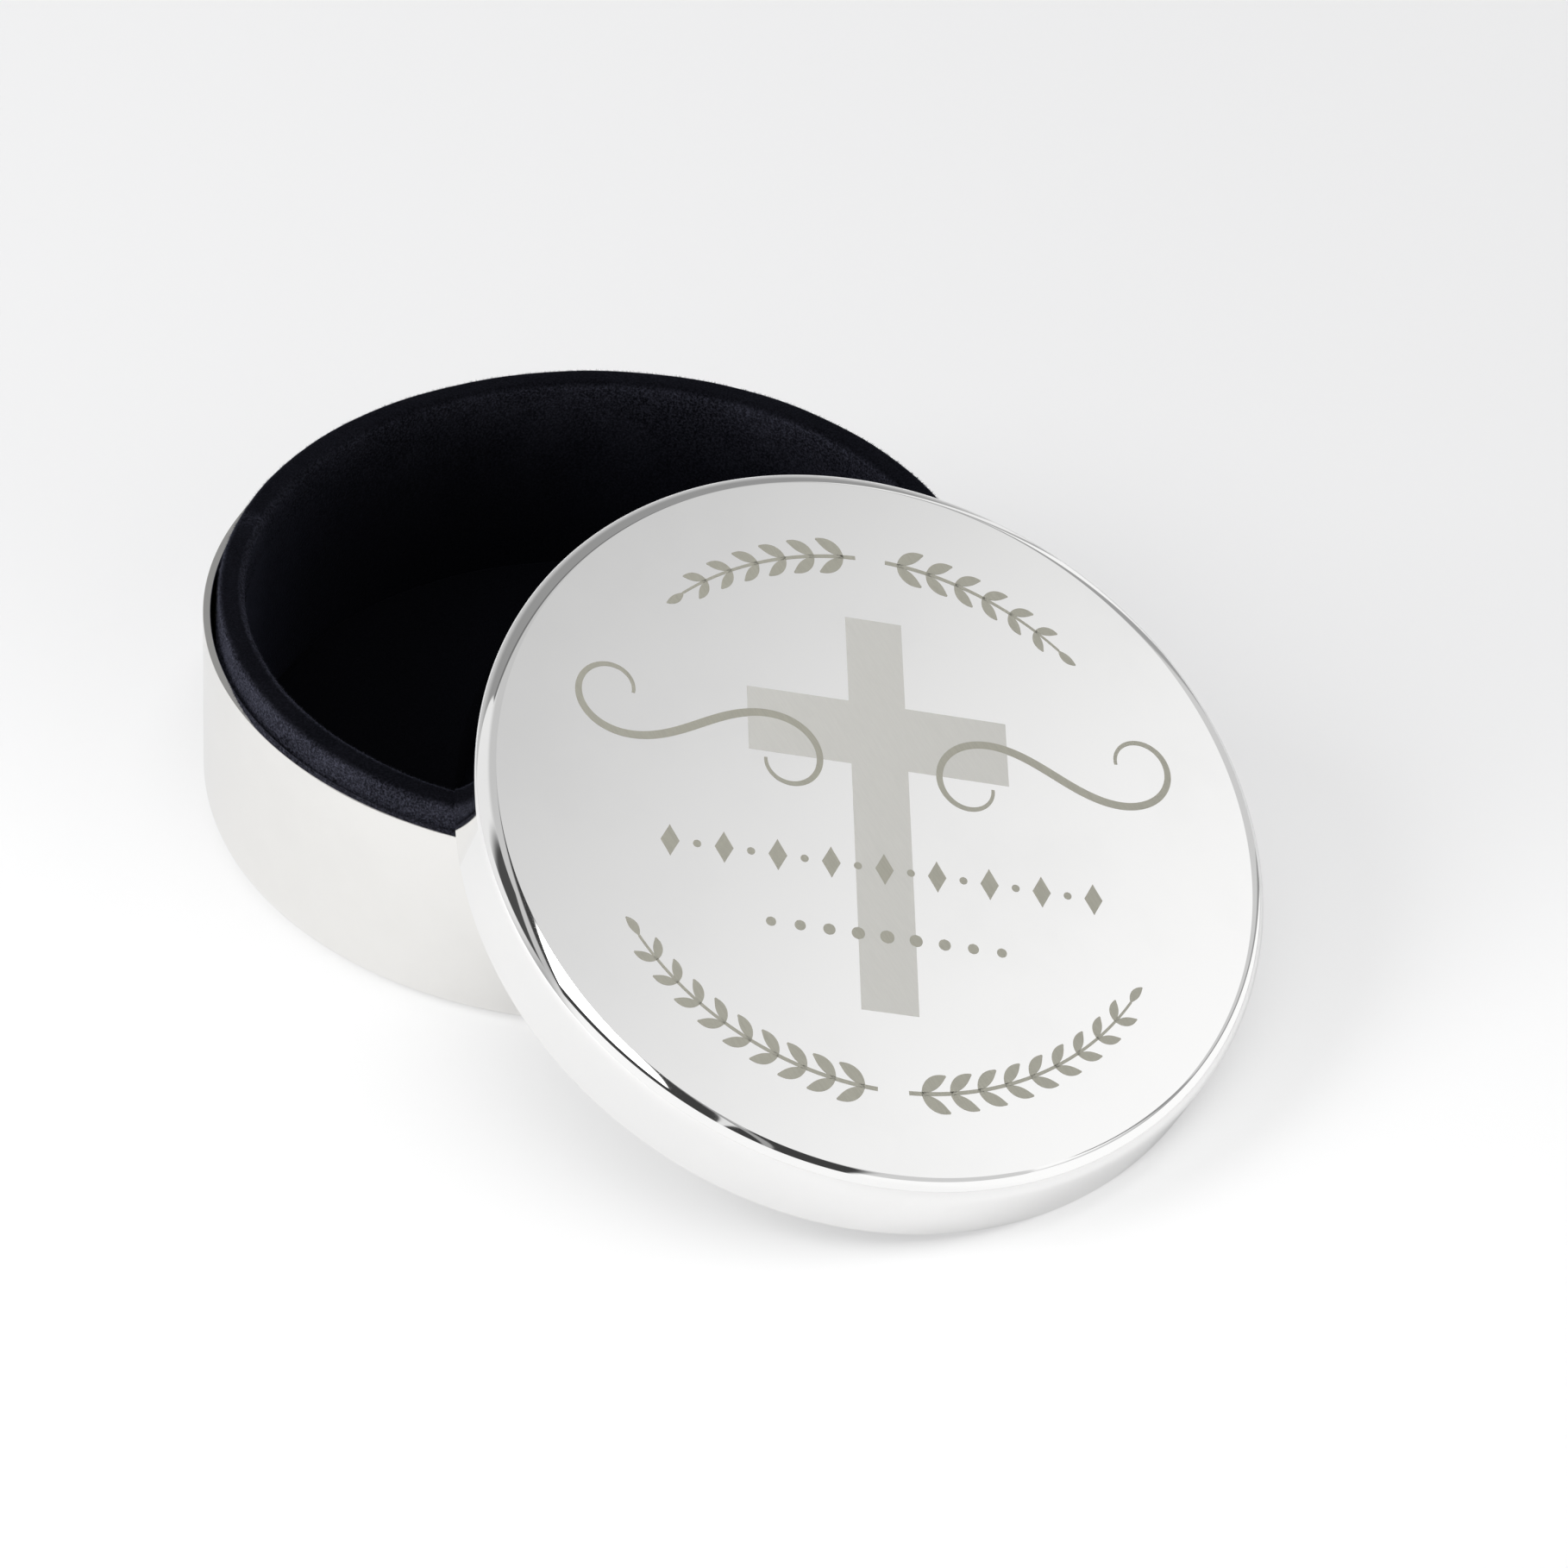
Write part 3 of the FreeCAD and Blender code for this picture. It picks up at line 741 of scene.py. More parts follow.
def table_top(near, far):
    """Pale table with painted shade darker towards the back; to the camera and in the metal it is mostly its
    own white.
    """
    finish, tree, shader, place = new_finish("pale_table")
    shade = tone(tree, ease(tree, along(tree, place, TABLE_WAY), *TABLE_SPAN), far, near)
    tree.links.new(shade, shader.inputs["Base Color"])
    shader.inputs["Roughness"].default_value = 0.6
    shader.inputs["Specular IOR Level"].default_value = 0.2
    rays = add_node(tree, "ShaderNodeLightPath").outputs
    level = ease(tree, rays["Is Glossy Ray"], 0.0, 1.0, 1.0, MIRRORED_LEVEL)
    white = add_node(tree, "ShaderNodeEmission", None, {"Color": shade, "Strength": level})
    mirrored = sum_of(tree, "MULTIPLY", rays["Is Glossy Ray"], MIRRORED_WHITE)
    seen = sum_of(tree, "MULTIPLY_ADD", rays["Is Camera Ray"], TABLE_WHITE, mirrored)
    parts = {0: seen, 1: shader.outputs[0], 2: white.outputs[0]}
    mixed = add_node(tree, "ShaderNodeMixShader", None, parts).outputs[0]
    tree.links.new(mixed, tree.nodes["Material Output"].inputs["Surface"])
    return finish


# Pieces


# Painted light on the velvet: how much paler the join makes the crest, the floor's level, so low that it is
# painted shade, and the lid's, even all over
JOIN_PALER = 0.25
FLOOR_LIGHT = 0.01
LID_LIGHT = 0.15
# Fullness of the padded floor's crown
CROWN_POWER = 1.5
# Nap: seed, lean of the hairs, waves of the brush (height, waves in a turn, start) and their spread, lengths
NAP_SEED = 7
NAP_LEAN = 0.7
NAP_BRUSH = (0.9, 3.0, 0.8)
NAP_SPREAD = 0.6
NAP_LENGTHS = (0.6, 1.4)
# Share of a hair's length lost where the lid leans on the collar, and the turn over which it comes back
NAP_LOSS = 0.5
NAP_LOSS_TURN = 0.4
# A hair: three feet and a tip
HAIR_FEET = np.radians([90.0, 210.0, 330.0])
HAIR_FACES = np.array([[1, 0, 3], [2, 1, 3], [0, 2, 3], [0, 1, 2]])
HAIR_CORNERS = len(HAIR_FEET) + 1


class TRINKET_OT_bowl_metal(bpy.types.Operator):
    """Turn the polished bowl from its outline"""

    bl_idname = "trinket.bowl_metal"
    bl_label = "Bowl metal"

    def execute(self, context):
        bowl = context.scene.trinket_bowl
        wall, sheet, rim = bowl.outer_radius, bowl.metal, bowl.rim_round
        flat = wall - bowl.edge_radius
        inner = wall - sheet
        lip = bowl.rim_height - rim
        outline = np.vstack([
            straight_run((0.0, 0.0), (flat, 0.0), steps=12)[:-1],
            arc_run((flat, bowl.edge_radius), bowl.edge_radius, -90.0, 0.0),
            arc_run((wall - rim, lip), rim, 0.0, 90.0),
            arc_run((inner + rim, lip), rim, 90.0, 180.0),
            arc_run((flat, bowl.edge_radius), bowl.edge_radius - sheet, 0.0, -90.0, side=-1.0),
            straight_run((flat, sheet), (0.0, sheet), steps=12)[1:],
        ])
        points, normals, faces = turned_skin(outline, SECTORS, False)
        finish = plating("bowl_plating", context.scene.trinket_finish.bowl_plating, BOWL_SWELL)
        piece = put_mesh("bowl_metal", points, faces, finish, normals)
        seat(piece, "bowl", "plated_metal", "base_shell")
        return {"FINISHED"}


class TRINKET_OT_lid_metal(bpy.types.Operator):
    """Turn the polished lid from its outline and lean it in its place"""

    bl_idname = "trinket.lid_metal"
    bl_label = "Lid metal"

    def execute(self, context):
        lid = context.scene.trinket_lid
        skirt, sheet, rim, shoulder = lid.outer_radius, lid.metal, lid.rim_round, lid.shoulder
        inner = skirt - sheet
        top = skirt - shoulder
        outer_turn = arc_run((top, lid.height - shoulder), shoulder, 0.0, 90.0, steps=2 * ARC_STEPS)
        inner_turn = arc_run((top, lid.height - shoulder), shoulder - sheet, 90.0, 0.0, side=-1.0)
        reach = np.linspace(top, 0.0, DOME_STEPS)[1:]
        slope = 2.0 * lid.dome * reach / top ** 2
        tilt = np.stack([np.sin(np.arctan(slope)), np.cos(np.arctan(slope))], axis=1)
        dome = np.column_stack([reach, lid_top_level(lid, reach), tilt])
        ceiling = np.column_stack([reach, lid_top_level(lid, reach) - sheet, -tilt])[::-1]
        lean = np.arctan(2.0 * lid.dome / top) * np.linspace(0.0, 1.0, len(outer_turn))
        facing_way = np.arctan2(outer_turn[:, 3], outer_turn[:, 2]) - lean
        outer_turn[:, 2:] = np.stack([np.cos(facing_way), np.sin(facing_way)], axis=1)
        outline = np.vstack([
            ceiling,
            inner_turn,
            arc_run((inner + rim, rim), rim, 180.0, 270.0),
            arc_run((skirt - rim, rim), rim, -90.0, 0.0),
            outer_turn,
            dome,
        ])
        points, normals, faces = turned_skin(outline, SECTORS, False)
        axes, _origin = lid_axes(lid)
        finish = plating("lid_plating", context.scene.trinket_finish.lid_plating, LID_SWELL)
        piece = put_mesh("lid_metal", on_lid(lid, points), faces, finish, normals @ axes)
        seat(piece, "lid", "plated_metal", "lid_shell")
        return {"FINISHED"}


def collar_front(lining):
    """Face of the velvet: up from its tuck, over the collar's flat top and down the wall inside."""
    face, top = lining.collar_radius, lining.collar_top
    inner = face - lining.collar_width
    outer_middle = (face - lining.outer_round, top - lining.outer_round)
    inner_middle = (inner + lining.inner_round, top - lining.inner_round)
    tuck = bpy.context.scene.trinket_bowl.rim_height - lining.tuck
    return np.vstack([
        straight_run((face, tuck), (face, outer_middle[1]), steps=12)[:-1],
        arc_run(outer_middle, lining.outer_round, 0.0, 90.0),
        straight_run((outer_middle[0], top), (inner_middle[0], top), steps=8)[1:-1],
        arc_run(inner_middle, lining.inner_round, 90.0, 180.0),
        straight_run((inner, inner_middle[1]), (inner, lining.collar_foot), steps=30)[1:],
    ])


def collar_outline(lining):
    """Closed outline of the velvet: its face, and its back a velvet's thickness behind."""
    front = collar_front(lining)
    back = front[::-3].copy()
    back[0], back[-1] = front[-1], front[0]
    back[:, :2] -= lining.velvet * back[:, 2:]
    back[:, 2:] *= -1.0
    return np.vstack([front, back])


class TRINKET_OT_wall_velvet(bpy.types.Operator):
    """Lay the padded velvet over the collar and down the bowl's wall"""

    bl_idname = "trinket.wall_velvet"
    bl_label = "Wall velvet"

    def execute(self, context):
        lining = context.scene.trinket_lining
        colours = context.scene.trinket_finish
        outline = collar_outline(lining)
        points, normals, faces = turned_skin(outline, VELVET_SECTORS, True)
        out = np.tile(outline[:, 2], VELVET_SECTORS)
        # Painted light and shade on the velvet by its normal, turn and level, and paler at the join
        pile = painted_velvet_light(lining, turn_of(points), out, normals[:, 2], points[:, 2])
        at_join = near_turn(points, lining, lining.join_turn, lining.join_line)
        pile = np.clip(pile + JOIN_PALER * normals[:, 2].clip(0.0) * at_join, 0.0, 1.0)
        front_rows = np.arange(len(outline)) < len(collar_front(lining))
        pressed = np.tile(front_rows.astype(float), VELVET_SECTORS)
        points = settled(points + normals * slow_waves(points, lining.ripple)[:, None], lining, pressed)
        finish = velvet("navy_velvet", colours.velvet_shaded, colours.velvet_lit, WALL_SHEEN)
        piece = put_mesh("wall_velvet", points, faces, finish, pile=pile)
        seat(piece, "bowl", "velvet", "liner_velvet")
        return {"FINISHED"}


class TRINKET_OT_collar_nap(bpy.types.Operator):
    """Stand short hairs of the pile on the collar"""

    bl_idname = "trinket.collar_nap"
    bl_label = "Collar nap"

    def execute(self, context):
        lining = context.scene.trinket_lining
        count = lining.nap_count
        chance = np.random.default_rng(NAP_SEED)
        face = collar_front(lining)
        shown = face[face[:, 1] > lining.collar_top - lining.nap_reach]
        run = np.concatenate([[0.0], np.cumsum(np.hypot(*np.diff(shown[:, :2], axis=0).T))])
        place = chance.uniform(0.0, run[-1], count)
        reach, level, out, up = (np.interp(place, run, shown[:, part]) for part in range(4))
        turn = chance.uniform(0.0, 2.0 * np.pi, count)
        spoke = np.stack([np.cos(turn), np.sin(turn), np.zeros(count)], axis=1)
        round_way = np.stack([-np.sin(turn), np.cos(turn), np.zeros(count)], axis=1)
        lift = np.array([0.0, 0.0, 1.0])
        normal = spoke * out[:, None] + lift * up[:, None]
        across = np.cross(round_way, normal)
        root = spoke * reach[:, None] + lift * level[:, None]
        root = root + normal * slow_waves(root, lining.ripple)[:, None]
        height, waves, start = NAP_BRUSH
        brushed = height * np.sin(waves * turn + start) + chance.normal(0.0, NAP_SPREAD, count)
        from_lid = np.angle(np.exp(1j * turn)) / NAP_LOSS_TURN
        kept = 1.0 - NAP_LOSS * np.exp(-(from_lid ** 2))
        hair = lining.nap_length * kept * chance.uniform(*NAP_LENGTHS, count)
        brush_way = round_way * np.sin(brushed)[:, None] + across * np.cos(brushed)[:, None]
        lean = normal + NAP_LEAN * brush_way
        tip = root + lean / np.linalg.norm(lean, axis=1, keepdims=True) * hair[:, None]
        spread = np.cos(HAIR_FEET)[:, None, None] * round_way + np.sin(HAIR_FEET)[:, None, None] * across
        feet = root - lining.nap_root * normal + lining.nap_girth * spread
        points = np.concatenate([feet, tip[None]]).transpose(1, 0, 2).reshape(-1, 3)
        # Painted light and shade on the hairs, as on the collar under them
        pile = np.repeat(painted_velvet_light(lining, turn, out, up, level), HAIR_CORNERS)
        faces = (np.arange(count)[:, None, None] * HAIR_CORNERS + HAIR_FACES).reshape(-1, 3)
        colours = context.scene.trinket_finish
        finish = velvet("navy_nap", colours.velvet_shaded, colours.nap_hair_lit, NAP_SHEEN)
        piece = put_mesh("collar_nap", settled(points, lining, 1.0), faces.tolist(), finish, pile=pile)
        seat(piece, "bowl", "velvet")
        return {"FINISHED"}


def crowned(edge, top, crown, steps):
    """Crown of a padded disc from its edge to its middle: top - crown + crown * (1 - (r / edge)^2)^1.5."""
    reach = np.linspace(edge, 0.0, steps)[1:]
    rise = top - crown + crown * (1.0 - (reach / edge) ** 2) ** CROWN_POWER
    flat = np.zeros_like(reach)
    return np.column_stack([reach, rise, flat, flat + 1.0])


class TRINKET_OT_floor_velvet(bpy.types.Operator):
    """Lay the padded velvet floor in the bowl"""

    bl_idname = "trinket.floor_velvet"
    bl_label = "Floor velvet"

    def execute(self, context):
        lining = context.scene.trinket_lining
        colours = context.scene.trinket_finish
        edge, thick, soft = lining.pad_radius, lining.velvet, lining.pad_round
        brow = lining.pad_top - lining.pad_crown
        crown = crowned(edge - soft, lining.pad_top, lining.pad_crown, steps=40)
        under = crown[::-1] * np.array([1.0 - thick / edge, 1.0, 1.0, -1.0])
        under[:, 1] -= thick
        outline = np.vstack([
            under,
            straight_run((edge - thick, brow - soft), (edge - thick, lining.pad_foot), steps=4),
            straight_run((edge, lining.pad_foot), (edge, brow - soft), steps=4)[:-1],
            arc_run((edge - soft, brow - soft), soft, 0.0, 90.0, steps=10),
            crown,
        ])
        points, normals, faces = turned_skin(outline, VELVET_SECTORS // 2, False)
        points = points + normals * slow_waves(points, lining.ripple)[:, None]
        finish = velvet("navy_floor", colours.velvet_shaded, colours.velvet_lit, FLOOR_SHEEN)
        # The floor's velvet gets almost no painted light: painted shade
        piece = put_mesh("floor_pad", points, faces, finish, pile=FLOOR_LIGHT)
        seat(piece, "bowl", "velvet", "floor_velvet")
        return {"FINISHED"}


class TRINKET_OT_wadding(bpy.types.Operator):
    """Lay the wadding under the velvet of the wall and the floor"""

    bl_idname = "trinket.wadding"
    bl_label = "Wadding"

    def execute(self, context):
        lining = context.scene.trinket_lining
        wadding = context.scene.trinket_wadding
        face = context.scene.trinket_finish.wadding
        finish = fibre_stock("white_wadding", face, WADDING_SCALE, WADDING_DEPTH)
        low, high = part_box("liner_wadding")
        outer = high.y - wadding.outer_gap
        top = high.z - wadding.top_gap
        inner = lining.collar_radius - lining.collar_width + lining.velvet + wadding.inner_gap
        back = inner + wadding.leg
        shelf = node_top("liner_tube").z + wadding.shelf_gap
        roll = wadding.roll
        outline = np.vstack([
            straight_run((inner, low.z), (back, low.z), steps=3),
            straight_run((back, low.z), (back, shelf), steps=20)[1:],
            straight_run((back, shelf), (outer, shelf), steps=4)[1:],
            arc_run((outer - roll, top - roll), roll, 0.0, 90.0, steps=6),
            arc_run((inner + roll, top - roll), roll, 90.0, 180.0, steps=6),
            straight_run((inner, top - roll), (inner, low.z), steps=20)[1:-1],
        ])
        points, normals, faces = turned_skin(outline, VELVET_SECTORS // 2, True)
        points = settled(points + normals * slow_waves(points, wadding.ripple)[:, None], lining)
        ring = put_mesh("wall_wadding", points, faces, finish)
        seat(ring, "bowl", "wadding", "liner_wadding")

        low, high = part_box("floor_wadding")
        edge = high.y - wadding.pad_edge_gap
        top = high.z - wadding.pad_top_gap
        crown, soft = lining.pad_crown, wadding.pad_round
        outline = np.vstack([
            straight_run((0.0, low.z), (edge, low.z), steps=20),
            arc_run((edge - soft, top - crown - soft), soft, 0.0, 90.0, steps=6),
            crowned(edge - soft, top, crown, steps=30),
        ])
        points, normals, faces = turned_skin(outline, VELVET_SECTORS // 2, False)
        disc = put_mesh("floor_wadding_pad", points, faces, finish)
        seat(disc, "bowl", "wadding", "floor_wadding")
        return {"FINISHED"}


class TRINKET_OT_lid_velvet(bpy.types.Operator):
    """Lay the thin velvet lining inside the lid"""

    bl_idname = "trinket.lid_velvet"
    bl_label = "Lid velvet"

    def execute(self, context):
        lid = context.scene.trinket_lid
        colours = context.scene.trinket_finish
        half = 0.5 * lid.lining
        edge = lid.lining_radius
        middle = lid.lining_face + half
        outline = np.vstack([
            straight_run((0.0, lid.lining_face), (edge - half, lid.lining_face), steps=30)[:-1],
            arc_run((edge - half, middle), half, -90.0, 90.0, steps=8),
            straight_run((edge - half, middle + half), (0.0, middle + half), steps=12)[1:],
        ])
        points, _normals, faces = turned_skin(outline, VELVET_SECTORS, False)
        finish = velvet("navy_velvet", colours.velvet_shaded, colours.velvet_lit, WALL_SHEEN)
        # The lid's velvet gets painted light, even all over
        piece = put_mesh("lid_lining", on_lid(lid, points), faces, finish, pile=LID_LIGHT)
        seat(piece, "lid", "velvet", "lid_velvet")
        return {"FINISHED"}


class TRINKET_OT_boards(bpy.types.Operator):
    """Give the card tube and the card discs their grey board"""

    bl_idname = "trinket.boards"
    bl_label = "Boards"

    def execute(self, context):
        finish = fibre_stock("grey_board", context.scene.trinket_finish.card, BOARD_SCALE, BOARD_DEPTH)
        for node in ("liner_tube", "floor_card", "lid_card"):
            for slot in frame["nodes"][node].material_slots:
                slot.material = finish
        return {"FINISHED"}


# Etching: points along the cross's bars, leaves, stems, scrolls and beads
BAR_STEPS = 40
LEAF_STEPS = 13
STEM_STEPS = 48
SCROLL_STEPS = 161
BEAD_STEPS = 13
# Ornament stands this many times as high as the cross
ORNAMENT_RISE = 2.0
# A stem: where it starts, from the garland's middle, and its half width from there to its tip
STEM_START = np.radians(3.0)
STEM_HALVES = (0.24 * MM, 0.14 * MM)
# Leaves: the first pair's place, lengths and half widths to the tip, splay from the stem, bend, and outline
LEAF_START = np.radians(5.5)
LEAF_LENGTHS = (3.7 * MM, 2.5 * MM)
LEAF_HALVES = (0.72 * MM, 0.5 * MM)
LEAF_SPLAY = 0.66
LEAF_BEND = 0.5
LEAF_POWER = 0.75
LEAF_ENDS = (0.02, 0.98)
# Part of a half sine over which a scroll's line swells, the least width of a bead, and its path's share of it
SCROLL_SWELL = (0.12, 0.88)
BEAD_LEAST = 0.02
BEAD_RUN = 0.995


def etched(context, name, strips, finish, rise):
    """Join strips into one etched piece on the lid; strips are pairs of paths and half widths."""
    lid = context.scene.trinket_lid
    etching = context.scene.trinket_etching
    points, faces, first = [], [], 0
    for paths, halves in strips:
        more_points, more_faces = ribbons(paths, halves, -etching.sink, rise, lid, etching.turn)
        points.append(more_points)
        faces += (np.array(more_faces) + first).tolist()
        first += len(more_points)
    piece = put_mesh(name, on_lid(lid, np.vstack(points)), faces, finish)
    piece.data.polygons.foreach_set("use_smooth", np.zeros(len(faces), dtype=bool))
    return seat(piece, "lid", "plated_metal")


class TRINKET_OT_etched_cross(bpy.types.Operator):
    """Lay the pale etched cross on the lid's top"""

    bl_idname = "trinket.etched_cross"
    bl_label = "Etched cross"

    def execute(self, context):
        etching = context.scene.trinket_etching
        share = np.linspace(0.0, 1.0, BAR_STEPS)

        def bar(start, end, half):
            path = np.array(start) + share[:, None] * (np.array(end) - np.array(start))
            return path[None], np.full((1, len(share)), half)

        level, side, reach = etching.arm_level, etching.cross_half, etching.arm_reach
        strips = [
            bar((0.0, -etching.cross_foot), (0.0, etching.cross_top), side),
            bar((side, level), (reach, level), etching.arm_half),
            bar((-reach, level), (-side, level), etching.arm_half),
        ]
        finish = matt_etch("etched_cross_matt", context.scene.trinket_finish.cross_matt, CROSS_PALER)
        etched(context, "etched_cross", strips, finish, etching.relief)
        return {"FINISHED"}


def unit_way(turn):
    """Way at a turn: (cos turn, sin turn)."""
    return np.stack([np.cos(turn), np.sin(turn)], axis=-1)


def leaf(root, heading, size, plump):
    """Leaves from their roots: each path runs along its heading, bends a little and swells as a half sine."""
    share = np.linspace(0.0, 1.0, LEAF_STEPS)
    bend = heading[:, None] + LEAF_BEND * (share - 0.5) * np.sign(plump)[:, None]
    step = unit_way(bend) * (size / (LEAF_STEPS - 1))[:, None, None]
    paths = root[:, None, :] + np.cumsum(step, axis=1) - step[:, :1]
    halves = np.abs(plump)[:, None] * np.sin(np.pi * np.clip(share, *LEAF_ENDS)) ** LEAF_POWER
    return paths, halves


def garland(radius, spread, middle, count):
    """Two sprigs along an arc, from its middle outwards, with pairs of leaves and one leaf at each tip."""
    strips = []
    for way in (1.0, -1.0):
        stem = radius * unit_way(middle - way * np.linspace(STEM_START, spread, STEM_STEPS))
        strips.append((stem[None], np.linspace(*STEM_HALVES, STEM_STEPS)[None]))
        spot = middle - way * np.linspace(LEAF_START, spread, count)
        root = radius * unit_way(spot)
        growth = spot - way * 0.5 * np.pi
        size = np.linspace(*LEAF_LENGTHS, count)
        plump = np.linspace(*LEAF_HALVES, count)
        strips.append(leaf(root[:-1], growth[:-1] + way * LEAF_SPLAY, size[:-1], -way * plump[:-1]))
        strips.append(leaf(root[:-1], growth[:-1] - way * LEAF_SPLAY, size[:-1], way * plump[:-1]))
        strips.append(leaf(root[-1:], growth[-1:], size[-1:], way * plump[-1:]))
    return strips


def lozenge_side(share):
    """Half width of a lozenge, 1 - |u|, for u from -1 at its foot to 1 at its top."""
    return np.clip(1.0 - np.abs(share), BEAD_LEAST, 1.0)


def round_side(share):
    """Half width of a dot, the root of 1 - u^2, for u from -1 at its foot to 1 at its top."""
    return np.sqrt(np.clip(1.0 - share ** 2, BEAD_LEAST ** 2, 1.0))


def bead_row(reach, level, across, upright, side):
    """Row of beads at a level, from -reach to reach: upright paths as wide as their side at each share.

    across and upright are half widths and half heights, one for each bead.
    """
    share = np.linspace(-1.0, 1.0, BEAD_STEPS)
    spot = np.linspace(-reach, reach, len(across))[:, None]
    rise = level + upright[:, None] * share * BEAD_RUN
    paths = np.stack(np.broadcast_arrays(spot, rise), axis=-1)
    return paths, across[:, None] * side(share)


def scroll(pace, turns, middle, tilt):
    """S-scroll: an Euler spiral, whose curvature grows with the distance run, so both of its ends curl in."""
    run = np.linspace(-1.0, 1.0, SCROLL_STEPS) * pace * np.sqrt(4.0 * np.pi * turns)
    heading = run ** 2 / (2.0 * pace ** 2) + tilt
    path = np.cumsum(unit_way(heading) * (run[1] - run[0]), axis=0)
    return path - path[len(run) // 2] + np.array(middle)


class TRINKET_OT_etched_ornament(bpy.types.Operator):
    """Lay the etched scrolls, leaf garlands and rows of beads on the lid's top"""

    bl_idname = "trinket.etched_ornament"
    bl_label = "Etched ornament"

    def execute(self, context):
        etching = context.scene.trinket_etching
        finish = matt_etch("etched_line_matt", context.scene.trinket_finish.line_matt, LINE_PALER)
        rise = ORNAMENT_RISE * etching.relief
        radius = etching.garland_radius
        strips = garland(radius, etching.upper_spread, 0.5 * np.pi, etching.upper_leaves)
        strips += garland(radius, etching.lower_spread, -0.5 * np.pi, etching.lower_leaves)
        etched(context, "etched_garlands", strips, finish, rise)

        middle = (etching.scroll_side, etching.scroll_level)
        right = scroll(etching.scroll_pace, etching.scroll_turns, middle, etching.scroll_tilt)
        paths = np.stack([right, right * np.array([-1.0, 1.0])])
        swell = np.sin(np.linspace(*SCROLL_SWELL, SCROLL_STEPS) * np.pi)
        halves = np.tile(etching.line_half * swell, (2, 1))
        etched(context, "etched_scrolls", [(paths, halves)], finish, rise)

        count = etching.row_count
        across = np.full(count, etching.lozenge_half)
        upright = np.full(count, etching.lozenge_rise)
        stop = np.full(count - 1, etching.stop_half)
        places_out = np.abs(np.arange(etching.dot_count) - etching.dot_count // 2)
        dot = etching.dot_half - etching.dot_taper * places_out
        rows = [
            bead_row(etching.row_reach, -etching.row_drop, across, upright, lozenge_side),
            bead_row(etching.stop_reach, -etching.row_drop, stop, stop, round_side),
            bead_row(etching.dot_reach, -etching.dot_drop, dot, dot, round_side),
        ]
        etched(context, "etched_beads", rows, finish, rise)
        return {"FINISHED"}


# Stage


def away(way):
    """A way turned round."""
    return tuple(-part for part in way)


# Ways that bound the studio's panels
UP = (0.0, 0.0, 1.0)
FRONT = (0.0, -1.0, 0.0)
LEFT = (-1.0, 0.0, 0.0)
BACK_EDGE = (0.85, 0.0, -0.527)
RIGHT_EDGE = (0.692, -0.678, 0.25)
FOLD = (0.943, 0.24, -0.231)
DRAPE = (0.822, 0.483, -0.303)
LEFT_WALL = (0.749, -0.581, 0.32)
LEFT_END = (0.338, -0.918, 0.208)
FRAME_SIDE = (0.864, -0.503, -0.98)
BOX_BACK = (0.0, 1.0, -0.42)
# Sides that panels share: a way, the furthest reach along it and its softness
BEHIND = (FRONT, -0.2, 0.1)
WALL_SIDES = ((DRAPE, -0.07, 0.012), (LEFT_WALL, -0.06, 0.02), (LEFT_END, 0.05, 0.02))
STREAK_SIDES = ((FRAME_SIDE, 0.0, 0.03), (BOX_BACK, 0.0, 0.02))

